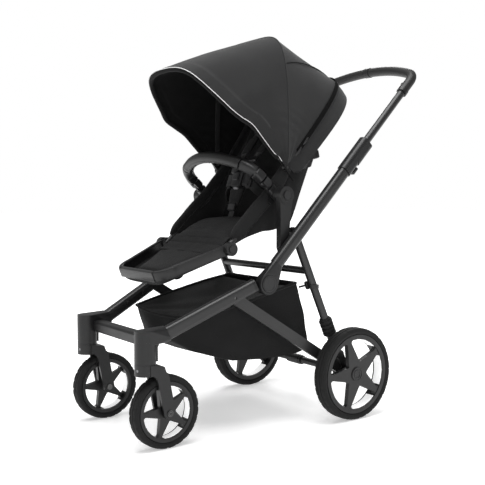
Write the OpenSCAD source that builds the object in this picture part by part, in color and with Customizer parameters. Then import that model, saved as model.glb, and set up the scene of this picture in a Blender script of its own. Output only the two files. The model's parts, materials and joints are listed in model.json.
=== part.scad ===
// Full-size folding baby stroller with a seat unit, canopy, leg rest, bumper bar and basket.
// Millimetres. +Z is up, -Y is forward and +X is the child's left-hand side of the stroller.
// The origin is on the floor, under the middle of the whole stroller.

/* [Wheels] */
// Distance from the centre plane to the middle of a rear wheel
rear_track_half = 272.5; // [270:0.5:275]
// Outer radius of a rear tyre
rear_wheel_r = 140; // [138:0.5:142]
// Width of a rear tyre
rear_tyre_w = 47; // [44:1:48]
// Distance from the centre plane to a caster's swivel axis
caster_x = 182; // [180:0.5:184]
// Outer radius of a front tyre
front_wheel_r = 100; // [98:0.5:101]
// Width of a front tyre
front_tyre_w = 40; // [36:1:41]
// How far a front axle trails behind its swivel axis
caster_trail = 57.5; // [55:0.5:60]

/* [Frame] */
// Lean of the push bars from the horizontal
bar_angle = 46; // [45:0.5:47]
// Distance from the centre plane to a push bar's centreline
bar_x = 248; // [247:0.5:249]
// Radius of the upper tube that carries the handlebar
upper_tube_r = 12.5; // [12:0.1:12.6]
// Radius of a rear leg's tube
rear_leg_r = 12.5; // [11:0.5:13]
// Distance along the push bars from the main hinge to the top of the handlebar
handle_top = 933; // [925:1:940]

/* [Seat] */
// Half the width of the seat's padded base
base_half = 150; // [140:1:153]
// Thickness of the padded seat back
back_thick = 38; // [34:1:40]
// Slope of the leg rest below the horizontal
leg_rest_slope = 21.3; // [20:0.1:23]

/* [Canopy] */
// Half the width of the canopy's middle bow
mid_bow_half = 193; // [190:1:194]
// Height of the middle bow above the canopy pivot
mid_bow_rise = 398; // [392:1:402]
// Height of the rear bow above the canopy pivot, along its lean
rear_bow_rise = 388; // [382:1:392]
// Lean of the rear bow above the horizontal
rear_bow_lean = 49; // [48:0.5:50]
// Thickness of a fabric panel
cloth = 3; // [2:0.5:3]

/* [Hidden] */
$fn = 48;

frame_black = "#2b2b2c";
plastic_black = "#242425";
tyre_black = "#1f1f20";
cloth_black = "#303031";
steel_grey = "#9a9a9c";

// Points in the side view are [y, z]
rear_axle_at = [179, 140];
front_axle_at = [-430.5, front_wheel_r];
caster_y = front_axle_at[0] - caster_trail;
main_hinge = [-137, 433];
strut_pivot = [-237, 398];
leg_pivot = [-6, 574];
seat_pivot = [-49, 682];
knee_pivot = [-219, 530];
canopy_pivot = [-11, 765];
bumper_root = [-56, 685];

pin_r = 6;
running_gap = 0.06;
bar_rise = 10;
bar_w = 30;
bar_h = 36;
tube_wall = 1.8;

leg_start = [183, -421, 311.5];
leg_splay = 13.33;
leg_pitch = 24.76;
leg_length = 274;
leg_w = 32;
leg_h = 38;

strut_in = 225;
strut_out = 236;
strut_r = 16;

housing_r = 29;
housing_low = 236;

collar_low = 436;
collar_top = 565;
grip_start = 790;
grip_collar = 16;
grip_r = 15.5;
handle_corner_r = 48;
handle_arch_r = 549;

bumper_angle = 137;
bumper_half = 185;
bumper_top = 164;
bumper_corner_r = 70;
bumper_arch_r = 300;
bumper_r = 17;
bumper_knuckle = 48;

leg_rest_tip = 212;
leg_rest_corner_r = 58;
leg_rest_h = 28;

rear_leg_top = [214, leg_pivot[0], leg_pivot[1]];
rear_leg_foot = [229, rear_axle_at[0], rear_axle_at[1]];
rear_leg_vector = rear_leg_foot - rear_leg_top;
function on_rear_leg(share) = rear_leg_top + share * rear_leg_vector;
foot_share = 0.87;
foot_pivot = [on_rear_leg(foot_share)[1], on_rear_leg(foot_share)[2]];
foot_pin_r = 4;
// The fold is not quite a true four-bar, so the foot's eye is this much wider than its pin
foot_play = 4.6;

// ---------- shared shapes ----------

module on_side(s) {
    if (s > 0) children();
    else mirror([1, 0, 0]) children();
}

module both_sides() {
    children();
    mirror([1, 0, 0]) children();
}

// Extrudes a side-view outline, whose x is Y and whose y is Z, from x0 to x1
module along_x(x0, x1) {
    translate([x0, 0, 0]) rotate([90, 0, 90]) linear_extrude(x1 - x0) children();
}

module disc_x(at, r, x0, x1) {
    translate([x0, at[0], at[1]]) rotate([0, 90, 0]) cylinder(r = r, h = x1 - x0);
}

module rod(p, q, r) {
    v = q - p;
    translate(p) rotate([0, acos(v[2] / norm(v)), atan2(v[1], v[0])]) cylinder(r = r, h = norm(v));
}

module rounded_rect(w, h, r) {
    square([w - 2 * r, h], center = true);
    square([w, h - 2 * r], center = true);
    for (i = [-1, 1], j = [-1, 1]) translate([i * (w / 2 - r), j * (h / 2 - r)]) circle(r);
}

module capsule(p, q, r) {
    v = q - p;
    translate(p) rotate(atan2(v[1], v[0])) translate([0, -r]) square([norm(v), 2 * r]);
    translate(p) circle(r);
    translate(q) circle(r);
}

// Local Y runs up the push bars' centreline from the main hinge, and local Z is square to it
module bar_frame() {
    translate([0, main_hinge[0], main_hinge[1]]) rotate([bar_angle, 0, 0])
        translate([0, 0, bar_rise]) children();
}

// Local Y runs up a front leg from its lower end
module leg_frame() {
    translate(leg_start) rotate([0, 0, -leg_splay]) rotate([leg_pitch, 0, 0]) children();
}

module leg_rest_frame_of() {
    translate([0, knee_pivot[0], knee_pivot[1]]) rotate([leg_rest_slope, 0, 0]) children();
}

// Local Y runs up the bumper bar's arms
module bumper_frame() {
    translate([0, bumper_root[0], bumper_root[1]]) rotate([bumper_angle, 0, 0]) children();
}

module stretch_y(s0, s1) {
    translate([0, s0, 0]) rotate([-90, 0, 0]) linear_extrude(s1 - s0) children();
}

// The centreline of a bar that bends from straight arms into a wide arch, in the local XY plane
function arch_path(half, corner_r, arch_r, top, start) =
    let (corner_x = half - corner_r, arch_y = top - arch_r,
        corner_y = arch_y + sqrt(pow(arch_r - corner_r, 2) - corner_x * corner_x),
        turn = atan2(corner_y - arch_y, corner_x),
        left = concat([[half, start, 0]],
            [for (k = [0 : 5]) [corner_x + corner_r * cos(turn * k / 6),
                corner_y + corner_r * sin(turn * k / 6), 0]],
            [for (k = [0 : 5]) let (a = turn + (90 - turn) * k / 6)
                [arch_r * cos(a), arch_y + arch_r * sin(a), 0]]))
    concat(left, [[0, top, 0]], [for (k = [len(left) - 1 : -1 : 0]) [-left[k][0], left[k][1], 0]]);

// A round bar through a list of points, as one smooth mesh. Its rings stand square to the
// line, and flat is a direction that the line never takes.
function unit(v) = v / norm(v);
function line_dir(path, i) =
    unit(path[min(i + 1, len(path) - 1)] - path[max(i - 1, 0)]);
function ring(path, i, r, sides, flat) =
    let (d = line_dir(path, i), a = unit(cross(d, flat)), b = cross(d, a))
    [for (k = [0 : sides - 1]) path[i] + r * (cos(k * 360 / sides) * a + sin(k * 360 / sides) * b)];
module sweep(path, r, sides, flat) {
    n = len(path);
    points = [for (i = [0 : n - 1]) each ring(path, i, r, sides, flat)];
    walls = [for (i = [0 : n - 2], k = [0 : sides - 1])
        [(i + 1) * sides + k, (i + 1) * sides + (k + 1) % sides, i * sides + (k + 1) % sides,
         i * sides + k]];
    low_end = [for (k = [0 : sides - 1]) k];
    high_end = [for (k = [sides - 1 : -1 : 0]) (n - 1) * sides + k];
    polyhedron(points, concat([low_end], walls, [high_end]), convexity = 8);
}

// A closed shell between two grids of points, each a list of rows
module shell(outer, inner) {
    rows = len(outer);
    cols = len(outer[0]);
    back = rows * cols;
    points = concat([for (row = outer) each row], [for (row = inner) each row]);
    skin = [for (i = [0 : rows - 2], j = [0 : cols - 2])
        [i * cols + j, i * cols + j + 1, (i + 1) * cols + j + 1, (i + 1) * cols + j]];
    lining = [for (f = skin) [f[3] + back, f[2] + back, f[1] + back, f[0] + back]];
    ends = [for (i = [0, rows - 1], j = [0 : cols - 2])
        let (a = i * cols + j)
        i == 0 ? [a + 1, a, a + back, a + 1 + back] : [a, a + 1, a + 1 + back, a + back]];
    edges = [for (j = [0, cols - 1], i = [0 : rows - 2])
        let (a = i * cols + j, b = a + cols)
        j == 0 ? [a, b, b + back, a + back] : [b, a, a + back, b + back]];
    polyhedron(points, concat(skin, lining, ends, edges), convexity = 8);
}

// ---------- front frame ----------

module yoke_corner() {
    hull() {
        translate([caster_x, caster_y, 288]) cylinder(r = housing_r, h = 36, $fn = 32);
        leg_frame() stretch_y(-10, 0) rounded_rect(leg_w + 4, leg_h + 4, 12, $fn = 32);
    }
    translate([caster_x, caster_y, housing_low]) cylinder(r = housing_r, h = 60);
    translate([caster_x - 9, caster_y + 22, 240]) cube([18, 12, 56]);
}

module front_yoke() color(plastic_black) difference() {
    union() {
        both_sides() yoke_corner();
        along_x(-caster_x + 8, caster_x - 8) translate([-460, 290]) rounded_rect(38, 34, 9);
    }
    both_sides() translate([caster_x, caster_y, housing_low - 1]) cylinder(r = 9 + running_gap, h = 56);
}

// The slot under a front leg that a strut folds up into
module strut_slot() {
    translate([-17, 190, -leg_h]) cube([30, leg_length, leg_h - 3]);
}

module front_leg(s) color(frame_black) on_side(s) difference() {
    leg_frame() difference() {
        stretch_y(0, leg_length) rounded_rect(leg_w, leg_h, 12);
        stretch_y(-1, leg_length + 1)
            rounded_rect(leg_w - 2 * tube_wall, leg_h - 2 * tube_wall, 12 - tube_wall);
        strut_slot();
    }
    disc_x(strut_pivot, 4, 200, 250);
}

module front_leg_left() front_leg(1);
module front_leg_right() front_leg(-1);

module hinge_plate() {
    difference() {
        union() {
            disc_x(main_hinge, 22, 232, 240);
            along_x(232, 240) capsule([-167, 426], main_hinge, 12);
            leg_frame() difference() {
                stretch_y(leg_length, leg_length + 9) rounded_rect(leg_w, leg_h, 12);
                strut_slot();
            }
        }
        disc_x(main_hinge, pin_r, 230, 242);
    }
}

module hinge_plates() color(plastic_black) both_sides() hinge_plate();

module pivot_pins() color(steel_grey) both_sides() {
    disc_x(main_hinge, pin_r, 229, 262);
    disc_x(strut_pivot, 4, 213, 241);
}

// Half the basket's width at a distance along the stroller
function basket_half(y) = y < -200 ? 150 + (y + 383) * 45 / 183 : 195;
basket_side = [[46, 412], [104, 214], [40, 199], [-188, 199], [-300, 235], [-356, 272],
    [-352, 341], [-250, 360], [-162, 376], [-60, 400]];
basket_inside = [[46 + 40, 460], [95, 220], [38, 204], [-187, 204], [-298, 240], [-349, 275],
    [-345, 341], [-380, 460]];

module basket_plan(inset) {
    polygon([for (p = [[-390, 0], [-200, 0], [140, 0]]) [basket_half(p[0]) - inset, p[0]],
        [-195 + inset, 140], [-195 + inset, -200], [-basket_half(-390) + inset, -390]]);
}

module basket() color(cloth_black) difference() {
    intersection() {
        along_x(-200, 200) polygon(basket_side);
        translate([0, 0, 150]) linear_extrude(300) basket_plan(0);
    }
    intersection() {
        along_x(-200, 200) polygon(basket_inside);
        translate([0, 0, 150]) linear_extrude(340) basket_plan(4);
    }
}

module basket_studs() color(steel_grey) both_sides() {
    leg_frame() translate([-leg_w / 2, 80, 0]) rotate([0, -90, 0]) cylinder(r = 8, h = 5);
    leg_frame() translate([-leg_w / 2, 150, 0]) rotate([0, -90, 0]) cylinder(r = 8, h = 5);
}

// ---------- push frame ----------

module push_tube(s) color(frame_black) on_side(s) bar_frame() translate([bar_x, 0, 0]) difference() {
    stretch_y(64, 515) rounded_rect(bar_w, bar_h, 12);
    stretch_y(63, 516) rounded_rect(bar_w - 2 * tube_wall, bar_h - 2 * tube_wall, 12 - tube_wall);
}

module push_tube_left() push_tube(1);
module push_tube_right() push_tube(-1);

module hub_housing() {
    difference() {
        hull() {
            disc_x(main_hinge, 31, 240.5, 265, $fn = 32);
            bar_frame() translate([bar_x + 4.5, 0, 0]) stretch_y(56, 64)
                rounded_rect(bar_w - 9, bar_h + 1, 10, $fn = 32);
        }
        disc_x(main_hinge, pin_r + running_gap, 238, 262.5);
        disc_x(main_hinge, 25, 263, 267);
    }
}

module hub_housings() color(plastic_black) both_sides() hub_housing();

module hub_caps() color(plastic_black) both_sides() disc_x(main_hinge, 24, 263, 267);

module collar() {
    difference() {
        union() {
            stretch_y(collar_low, 487) rounded_rect(bar_w + 6, bar_h + 6, 14);
            translate([0, 0, -2]) stretch_y(487, collar_top) rounded_rect(bar_w + 6, bar_h + 10, 14);
        }
        stretch_y(collar_low - 1, 515) rounded_rect(bar_w, bar_h, 12);
        stretch_y(514, collar_top + 1) circle(upper_tube_r + 0.1);
    }
}

module collars() color(plastic_black) both_sides() bar_frame() translate([bar_x, 0, 0]) collar();

module collar_trigger(s) color(plastic_black) on_side(s) bar_frame()
    translate([bar_x, 0, 0]) difference() {
        translate([0, 0, -27]) stretch_y(456, 478) rounded_rect(18, 11, 4);
        translate([0, 0, -34]) rotate([0, 90, 0]) cylinder(r = 1, h = 40, center = true);
    }

module collar_trigger_left() collar_trigger(1);
module collar_trigger_right() collar_trigger(-1);

module seat_column() {
    difference() {
        union() {
            disc_x(seat_pivot, 26, 212, 234);
            along_x(213, 232.8) polygon([[-74, 676], [-25, 676], [-33, 640], [-38, 590], [-42, 530],
                [-50, 512], [-64, 510], [-72, 530], [-72, 620]]);
        }
        disc_x(seat_pivot, 7 + running_gap, 211, 226);
        disc_x(seat_pivot, 13.4, 229, 235);
    }
}

module seat_columns() color(plastic_black) both_sides() seat_column();

// ---------- handlebar ----------

module handle_arch(r, start) {
    sweep(arch_path(bar_x, handle_corner_r, handle_arch_r, handle_top, start), r, 24, [0, 0, 1]);
}

module handle_tube() color(frame_black) bar_frame() difference() {
    handle_arch(upper_tube_r, 300);
    both_sides() translate([bar_x, 0, 0]) stretch_y(299, 836) circle(upper_tube_r - 1.6);
}

module handle_grip() color(plastic_black) bar_frame() difference() {
    handle_arch(grip_r, grip_start + grip_collar);
    handle_arch(upper_tube_r, grip_start);
    both_sides() translate([225, 826, 0]) rotate([0, 90, 0]) cylinder(r = 8.4, h = 10.4);
}

module grip_ring(length) {
    difference() {
        cylinder(r = grip_r + 1.5, h = length);
        translate([0, 0, -1]) cylinder(r = grip_r - 0.4, h = length + 2);
    }
}

module grip_trim() color(plastic_black) bar_frame() {
    translate([-11, handle_top, 0]) rotate([0, 90, 0]) grip_ring(22);
    both_sides() translate([bar_x, grip_start, 0]) rotate([-90, 0, 0]) difference() {
        cylinder(r = grip_r + 1.5, h = grip_collar);
        translate([0, 0, -1]) cylinder(r = upper_tube_r + 0.05, h = grip_collar + 2);
    }
}

module handle_button(s) color(plastic_black) on_side(s) bar_frame()
    translate([228, 826, 0]) rotate([0, 90, 0]) cylinder(r = 8, h = 5);

module handle_button_left() handle_button(1);
module handle_button_right() handle_button(-1);

// ---------- rear frame ----------

module strut_shape() {
    along_x(strut_in, strut_out) difference() {
        capsule(strut_pivot, rear_axle_at + [-18, 11], strut_r);
        translate(strut_pivot) circle(4 + running_gap);
    }
}

module struts() color(frame_black) both_sides() strut_shape();

module foot_cheek() {
    capsule(rear_axle_at, foot_pivot, 11.5);
    translate(foot_pivot) circle(12.4);
}

module rear_axle() color(plastic_black) difference() {
    union() {
        disc_x(rear_axle_at, 11, -214, 214);
        both_sides() {
            disc_x(rear_axle_at, 25, 209, 246);
            disc_x(rear_axle_at, pin_r, 246, 284);
        }
        disc_x(rear_axle_at, 15, -34, -25);
        disc_x(rear_axle_at, 15, 25, 34);
        both_sides() {
            along_x(209.5, 213.5) foot_cheek();
            along_x(242, 245.5) foot_cheek();
            disc_x(foot_pivot, foot_pin_r, 211, 244);
        }
    }
    both_sides() strut_shape();
}

module brake_pedal() color(plastic_black) difference() {
    union() {
        disc_x(rear_axle_at, 16, -24.5, 24.5);
        along_x(-24.5, 24.5) polygon([[185, 128], [232, 122], [236, 130], [186, 153]]);
    }
    disc_x(rear_axle_at, 11 + running_gap, -26, 26);
}

module rear_leg_tube() {
    rod(rear_leg_top, on_rear_leg(foot_share), rear_leg_r);
}

module rear_leg(s) color(frame_black) on_side(s) difference() {
    union() {
        rear_leg_tube();
        disc_x(leg_pivot, 15, 204, 227);
        disc_x(foot_pivot, 13.4, 215, 241);
    }
    disc_x(leg_pivot, 5 + running_gap, 200, 230);
    disc_x(foot_pivot, foot_pin_r + foot_play, 210, 245);
}

module rear_leg_left() rear_leg(1);
module rear_leg_right() rear_leg(-1);

cross_share = 0.27;
cross_at = [on_rear_leg(cross_share)[1], on_rear_leg(cross_share)[2]];
module rear_cross_tube() color(frame_black) difference() {
    disc_x(cross_at, 11, -217, 217);
    both_sides() rear_leg_tube();
}

// A ribbed rubber sleeve over the spring in each rear leg
module bellows() color(tyre_black) both_sides() translate(on_rear_leg(0.61))
    rotate([0, acos(rear_leg_vector[2] / norm(rear_leg_vector)),
        atan2(rear_leg_vector[1], rear_leg_vector[0])])
        difference() {
            union() {
                cylinder(r = 17, h = 56);
                for (k = [0 : 3]) translate([0, 0, 6 + 13 * k]) cylinder(r = 20.5, h = 7);
            }
            translate([0, 0, -1]) cylinder(r = rear_leg_r, h = 58);
        }

hook_at = on_rear_leg(0.38);
module basket_hooks() color(steel_grey) both_sides() difference() {
    translate(hook_at + [0, 0, -6]) cylinder(r = 17, h = 12);
    rear_leg_tube();
}

// ---------- wheels ----------

// A wheel's parts are made on the X axis, with the outer face towards +X
module tyre(r, rim_r, w) {
    rotate([0, 90, 0]) rotate_extrude($fn = 96) translate([(r + rim_r) / 2, 0])
        rounded_rect(r - rim_r, w, 8);
}

module spoked_rim(rim_r, barrel_r, w, hub_r, opening_in, corner, bore_to) {
    difference() {
        union() {
            rotate([0, 90, 0]) difference() {
                translate([0, 0, -w / 2 + 3]) cylinder(r = rim_r, h = w - 6, $fn = 96);
                translate([0, 0, -w / 2]) cylinder(r = barrel_r, h = w, $fn = 96);
            }
            along_x(w / 2 - 20, w / 2 - 5) difference() {
                circle(barrel_r + 1, $fn = 96);
                for (k = [0 : 4]) rotate(36 + 180 + 72 * k) hull() {
                    for (a = [-26, -13, 0, 13, 26]) rotate(a) translate([barrel_r - corner - 0.6, 0])
                        circle(corner, $fn = 24);
                    translate([opening_in, 0]) circle(corner * 0.7, $fn = 24);
                }
            }
            rotate([0, 90, 0]) translate([0, 0, -w / 2 + 1]) cylinder(r = hub_r, h = w - 4);
        }
        rotate([0, 90, 0]) translate([0, 0, -w / 2 - 1]) cylinder(r = pin_r + running_gap, h = bore_to);
    }
}

rear_rim_r = rear_wheel_r - 20;
front_rim_r = front_wheel_r - 18;

module rear_tyre(s) color(tyre_black) on_side(s)
    translate([rear_track_half, rear_axle_at[0], rear_axle_at[1]])
        tyre(rear_wheel_r, rear_rim_r, rear_tyre_w);

module rear_rim(s) color(plastic_black) on_side(s)
    translate([rear_track_half, rear_axle_at[0], rear_axle_at[1]])
        spoked_rim(rear_rim_r, rear_wheel_r - 33, rear_tyre_w, 22, 46, 8, 38);

module front_tyre(s) color(tyre_black) on_side(s)
    translate([caster_x, front_axle_at[0], front_axle_at[1]])
        tyre(front_wheel_r, front_rim_r, front_tyre_w);

module front_rim(s) color(plastic_black) on_side(s)
    translate([caster_x, front_axle_at[0], front_axle_at[1]])
        spoked_rim(front_rim_r, front_wheel_r - 28, front_tyre_w, 15, 31, 6, front_tyre_w + 4);

module rear_tyre_left() rear_tyre(1);
module rear_tyre_right() rear_tyre(-1);
module rear_rim_left() rear_rim(1);
module rear_rim_right() rear_rim(-1);
module front_tyre_left() front_tyre(1);
module front_tyre_right() front_tyre(-1);
module front_rim_left() front_rim(1);
module front_rim_right() front_rim(-1);

module fork(s) color(plastic_black) on_side(s) difference() {
    union() {
        translate([caster_x, caster_y, 205]) cylinder(r = housing_r, h = 30.4);
        translate([caster_x, caster_y, 234]) cylinder(r = 9, h = 48);
        along_x(caster_x - 31, caster_x + 31)
            polygon([[caster_y, 206], [caster_y + 50, 206], [caster_y + 42, 228], [caster_y, 235.4]]);
        for (x0 = [caster_x - 31, caster_x + 22.5]) {
            along_x(x0, x0 + 8.5) hull() {
                translate(front_axle_at) circle(17, $fn = 32);
                translate([caster_y + 38, 198]) circle(18, $fn = 32);
            }
            along_x(x0, x0 + 8.5) polygon([[caster_y + 8, 206], [caster_y + 20, 196],
                [caster_y + 40, 190], [caster_y + 50, 206], [caster_y + 42, 228]]);
        }
    }
    disc_x(front_axle_at, pin_r, caster_x - 40, caster_x + 40);
}

module fork_left() fork(1);
module fork_right() fork(-1);

module front_axle(s) color(steel_grey) on_side(s) {
    disc_x(front_axle_at, pin_r, caster_x - 33, caster_x + 33);
    disc_x(front_axle_at, 8.5, caster_x + 31, caster_x + 34);
    disc_x(front_axle_at, 8.5, caster_x - 34, caster_x - 31);
}

module front_axle_left() front_axle(1);
module front_axle_right() front_axle(-1);

// ---------- seat unit ----------

frame_tube_r = 8;
frame_half = [[170, -219, 530], [163, -66, 668], [163, 14, 765], [160, 130, 949],
    [155, 137, 961], [146, 142, 968]];
frame_path = concat(frame_half, [for (k = [len(frame_half) - 1 : -1 : 0])
    [-frame_half[k][0], frame_half[k][1], frame_half[k][2]]]);
frame_hip = [frame_half[1][1], frame_half[1][2]];
frame_shoulder = [frame_half[2][1], frame_half[2][2]];

module seat_frame() color(frame_black) difference() {
    union() {
        sweep(frame_path, frame_tube_r, 16, [0, 0.86, -0.51]);
        both_sides() disc_x(knee_pivot, 13, 166, 178);
    }
    both_sides() disc_x(knee_pivot, 5 + running_gap, 160, 180);
}

module seat_joint() {
    difference() {
        union() {
            disc_x(seat_pivot, 26, 199, 211.6);
            disc_x(seat_pivot, 7, 211, 225);
            disc_x(frame_hip, 10, 171.5, 182);
            bumper_frame() translate([bumper_half, 0, 0]) stretch_y(-10, 30) rounded_rect(26, 30, 8);
            along_x(bumper_half - 5, 200) capsule(seat_pivot, bumper_root + [-6, 6], 14);
            bumper_frame() translate([bumper_half, 0, 0]) stretch_y(28, bumper_knuckle)
                rounded_rect(11, 26, 3);
            bumper_frame() translate([bumper_half - 5.5, bumper_knuckle, 0]) rotate([0, 90, 0])
                cylinder(r = 13, h = 11);
        }
        bumper_frame() translate([bumper_half - 20, bumper_knuckle, 0]) rotate([0, 90, 0])
            cylinder(r = 3.5 + running_gap, h = 40);
    }
}

module seat_joints() color(plastic_black) both_sides() seat_joint();

seat_base_side = [[-203, 531], [-203, 549], [-180, 568], [-140, 592], [-107, 605], [-60, 604],
    [-26, 598], [-22, 580], [-47, 577], [-103, 571], [-148, 558], [-185, 534]];

module seat_base() color(cloth_black) along_x(-base_half, base_half) polygon(seat_base_side);

// The seat back rises from back_low to back_high along its rear face
back_low = [21, 594];
back_high = [176, 984];
back_dir = unit(back_high - back_low);
back_in = [-back_dir[1], back_dir[0]];

module seat_liner() color(cloth_black) {
    along_x(-156, 156) polygon([back_low, back_high, back_high + back_thick * back_in,
        back_low + back_thick * back_in]);
    both_sides() along_x(156, 160) polygon([[-150, 566], [-103, 575], [-47, 581], back_low, back_high,
        back_high + back_thick * back_in, [56, 850], [4, 772], [-34, 720], [-84, 664]]);
}

module harness() color(cloth_black) {
    buckle = [0, -62, 724];
    translate(buckle) cube([46, 16, 34], center = true);
    rod([0, -94, 610], buckle + [0, 0, -18], 5);
    both_sides() rod([16, -58, 742], [52, 53, 876], 5);
}

module recline_button(s) color(plastic_black) on_side(s) disc_x(seat_pivot, 13, 232, 237);
module recline_button_left() recline_button(1);
module recline_button_right() recline_button(-1);

// ---------- leg rest ----------

module leg_rest_plan(inset) {
    hull() {
        for (i = [-1, 1]) {
            translate([i * (176 - inset), inset > 0 ? 30 : -22]) circle(8, $fn = 32);
            translate([i * 86, -leg_rest_tip + leg_rest_corner_r])
                circle(leg_rest_corner_r - inset, $fn = 32);
        }
    }
}

module leg_rest_frame() color(plastic_black) leg_rest_frame_of()
    translate([0, 0, -leg_rest_h / 2 - 1]) difference() {
        linear_extrude(leg_rest_h) leg_rest_plan(0);
        translate([0, 0, -1]) linear_extrude(leg_rest_h + 2) leg_rest_plan(13);
    }

module leg_rest_knuckle() {
    difference() {
        disc_x(knee_pivot, 19, 178.6, 200);
        disc_x(knee_pivot, 10.4, 193.6, 201);
    }
    disc_x(knee_pivot, 5, 167, 179);
}

module leg_rest_knuckles() color(plastic_black) both_sides() leg_rest_knuckle();

module calf_pad() color(cloth_black) leg_rest_frame_of() translate([0, 0, -14])
    linear_extrude(12) polygon([[-154, -24], [154, -24], [114, -168], [-114, -168]]);

module leg_rest_button(s) color(plastic_black) on_side(s) disc_x(knee_pivot, 10, 197, 202.4);
module leg_rest_button_left() leg_rest_button(1);
module leg_rest_button_right() leg_rest_button(-1);

// ---------- bumper bar ----------

bumper_arm_start = bumper_knuckle + 14.3;

module bumper_bar() color(plastic_black) bumper_frame()
    sweep(arch_path(bumper_half, bumper_corner_r, bumper_arch_r, bumper_top, bumper_arm_start),
        bumper_r, 24, [0, 0, 1]);

bumper_cheek_r = 12;
bumper_cheek_w = 8.8;

module bumper_end() {
    for (x0 = [bumper_half - 15, bumper_half + 6.2])
        translate([x0, 0, 0]) {
            translate([0, bumper_knuckle, 0]) rotate([0, 90, 0])
                cylinder(r = bumper_cheek_r, h = bumper_cheek_w);
            translate([bumper_cheek_w / 2, 0, 0]) stretch_y(bumper_knuckle, bumper_arm_start)
                square([bumper_cheek_w, 2 * bumper_cheek_r], center = true);
        }
    translate([bumper_half - 7, bumper_knuckle, 0]) rotate([0, 90, 0]) cylinder(r = 3.5, h = 14);
}

module bumper_ends() color(plastic_black) bumper_frame() both_sides() bumper_end();

// ---------- canopy ----------

half_steps = 12;
// The edge of the visor from its left pivot to its middle, as [x, y, z]
rim_points = [[184, -40, 796], [189, -61, 805], [191, -102, 845], [192, -141, 883],
    [188, -178, 903], [188, -213, 924], [175, -235, 948], [158, -262, 977], [141, -286, 1003],
    [117, -306, 1026], [84, -318, 1040], [42, -324, 1046], [0, -325, 1047]];

// Sideways angle of the first step of a bow, and how the steps close up towards it
first_turn = 0.9;
turn_power = 1.3;
// How square each bow is, at its sides and over its top
mid_side_power = 5.4;
mid_top_power = 3.6;
rear_bow_half = 182;
rear_side_power = 4.6;
rear_top_power = 4.2;
// Width of the band behind the rear bow, at the pivot and what it gains by the middle
band_w = 52;
band_gain = 12;
skirt_half = 172;
skirt_rise = 250;
skirt_root = [92, 765];

function bow_turn(i) = first_turn + (90 - first_turn) * pow(i / half_steps, turn_power);
function bow_point(half, rise, side_power, top_power, lean, i) =
    let (t = bow_turn(i), r = rise * pow(sin(t), 2 / top_power))
    [half * pow(max(0, cos(t)), 2 / side_power), canopy_pivot[0] + r * cos(lean),
        canopy_pivot[1] + r * sin(lean)];

// One half of each line that the fabric follows, by its step from the pivot
function rim_line(i) = rim_points[i];
function mid_line(i) = bow_point(mid_bow_half, mid_bow_rise, mid_side_power, mid_top_power, 90, i);
function rear_line(i) =
    bow_point(rear_bow_half, rear_bow_rise, rear_side_power, rear_top_power, rear_bow_lean, i);
function band_line(i) = rear_line(i)
    + (band_w + band_gain * sin(15 * i)) * [0, sin(rear_bow_lean), -cos(rear_bow_lean)];
function skirt_line(i) =
    let (t = bow_turn(i), r = skirt_rise * pow(sin(t), 0.5))
    [skirt_half * pow(max(0, cos(t)), 0.5), skirt_root[0] + r * back_dir[0],
        skirt_root[1] + r * back_dir[1]];

// A step from 0 to 24 goes over the canopy, from its left side to its right
function whole(i) = i <= half_steps ? i : 2 * half_steps - i;
function flip(p, i) = i <= half_steps ? p : [-p[0], p[1], p[2]];

// Moves a point in from the fabric's outside, towards the pivot line
function inwards(p, depth) =
    let (d = [p[1] - canopy_pivot[0], p[2] - canopy_pivot[1]], r = norm(d))
    [p[0] * (1 - depth / 200), canopy_pivot[0] + d[0] * (r - depth) / r,
        canopy_pivot[1] + d[1] * (r - depth) / r];

// A point of a panel between two lines, which stops short of both by the seam gap
seam_gap = 1.2;
function panel_point(a, b, share) =
    let (m = seam_gap / norm(b - a)) a + (b - a) * (m + share * (1 - 2 * m));

module rim_panel() {
    rows = 5;
    outer = [for (k = [0 : rows]) [for (i = [0 : 2 * half_steps])
        flip(panel_point(rim_line(whole(i)), mid_line(whole(i)), k / rows), i)]];
    shell(outer, [for (row = outer) [for (p = row) inwards(p, cloth)]]);
}

module crown_panel() {
    rows = 4;
    outer = [for (k = [0 : rows]) [for (i = [0 : 2 * half_steps])
        flip(panel_point(mid_line(whole(i)), rear_line(whole(i)), k / rows), i)]];
    shell(outer, [for (row = outer) [for (p = row) inwards(p, cloth)]]);
}

// The rear panel runs down a band behind the rear bow, then in to the seat back as a skirt
band_dir = [0, sin(rear_bow_lean), -cos(rear_bow_lean)];
module rear_panel() {
    lines = 4;
    outer = [for (k = [0 : lines]) [for (i = [0 : 2 * half_steps])
        let (j = whole(i))
        flip(k < 2 ? panel_point(rear_line(j), band_line(j), k)
            : band_line(j) + (skirt_line(j) - band_line(j)) * (k - 1) / (lines - 1), i)]];
    inner = [for (k = [0 : lines]) [for (p = outer[k])
        (k < 2 ? inwards(p, cloth) : inwards(p, cloth * 0.4)) - (k > 0 ? cloth : 0) * band_dir]];
    shell(outer, inner);
}

function bow_path(line, depth, start_x) = [for (i = [0 : 2 * half_steps])
    let (p = inwards(flip(line[whole(i)], i), depth), s = i <= half_steps ? 1 : -1)
    whole(i) == 0 ? [s * start_x, p[1], p[2]] : p];

bow_depth = 8.5;
bow_r = 2.5;
rim_bow = bow_path([for (i = [0 : half_steps]) rim_line(i)], bow_depth, 178);
mid_bow = bow_path([for (i = [0 : half_steps]) mid_line(i)], bow_depth, 183.5);
rear_bow = bow_path([for (i = [0 : half_steps]) rear_line(i)], bow_depth, 173.5);

module bow_eye(x0, x1, toward) {
    difference() {
        union() {
            disc_x(canopy_pivot, 10, x0, x1);
            along_x(x0, x1) capsule(canopy_pivot, [toward[1], toward[2]], 4);
        }
        disc_x(canopy_pivot, 4 + running_gap, x0 - 1, x1 + 1);
    }
}

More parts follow.
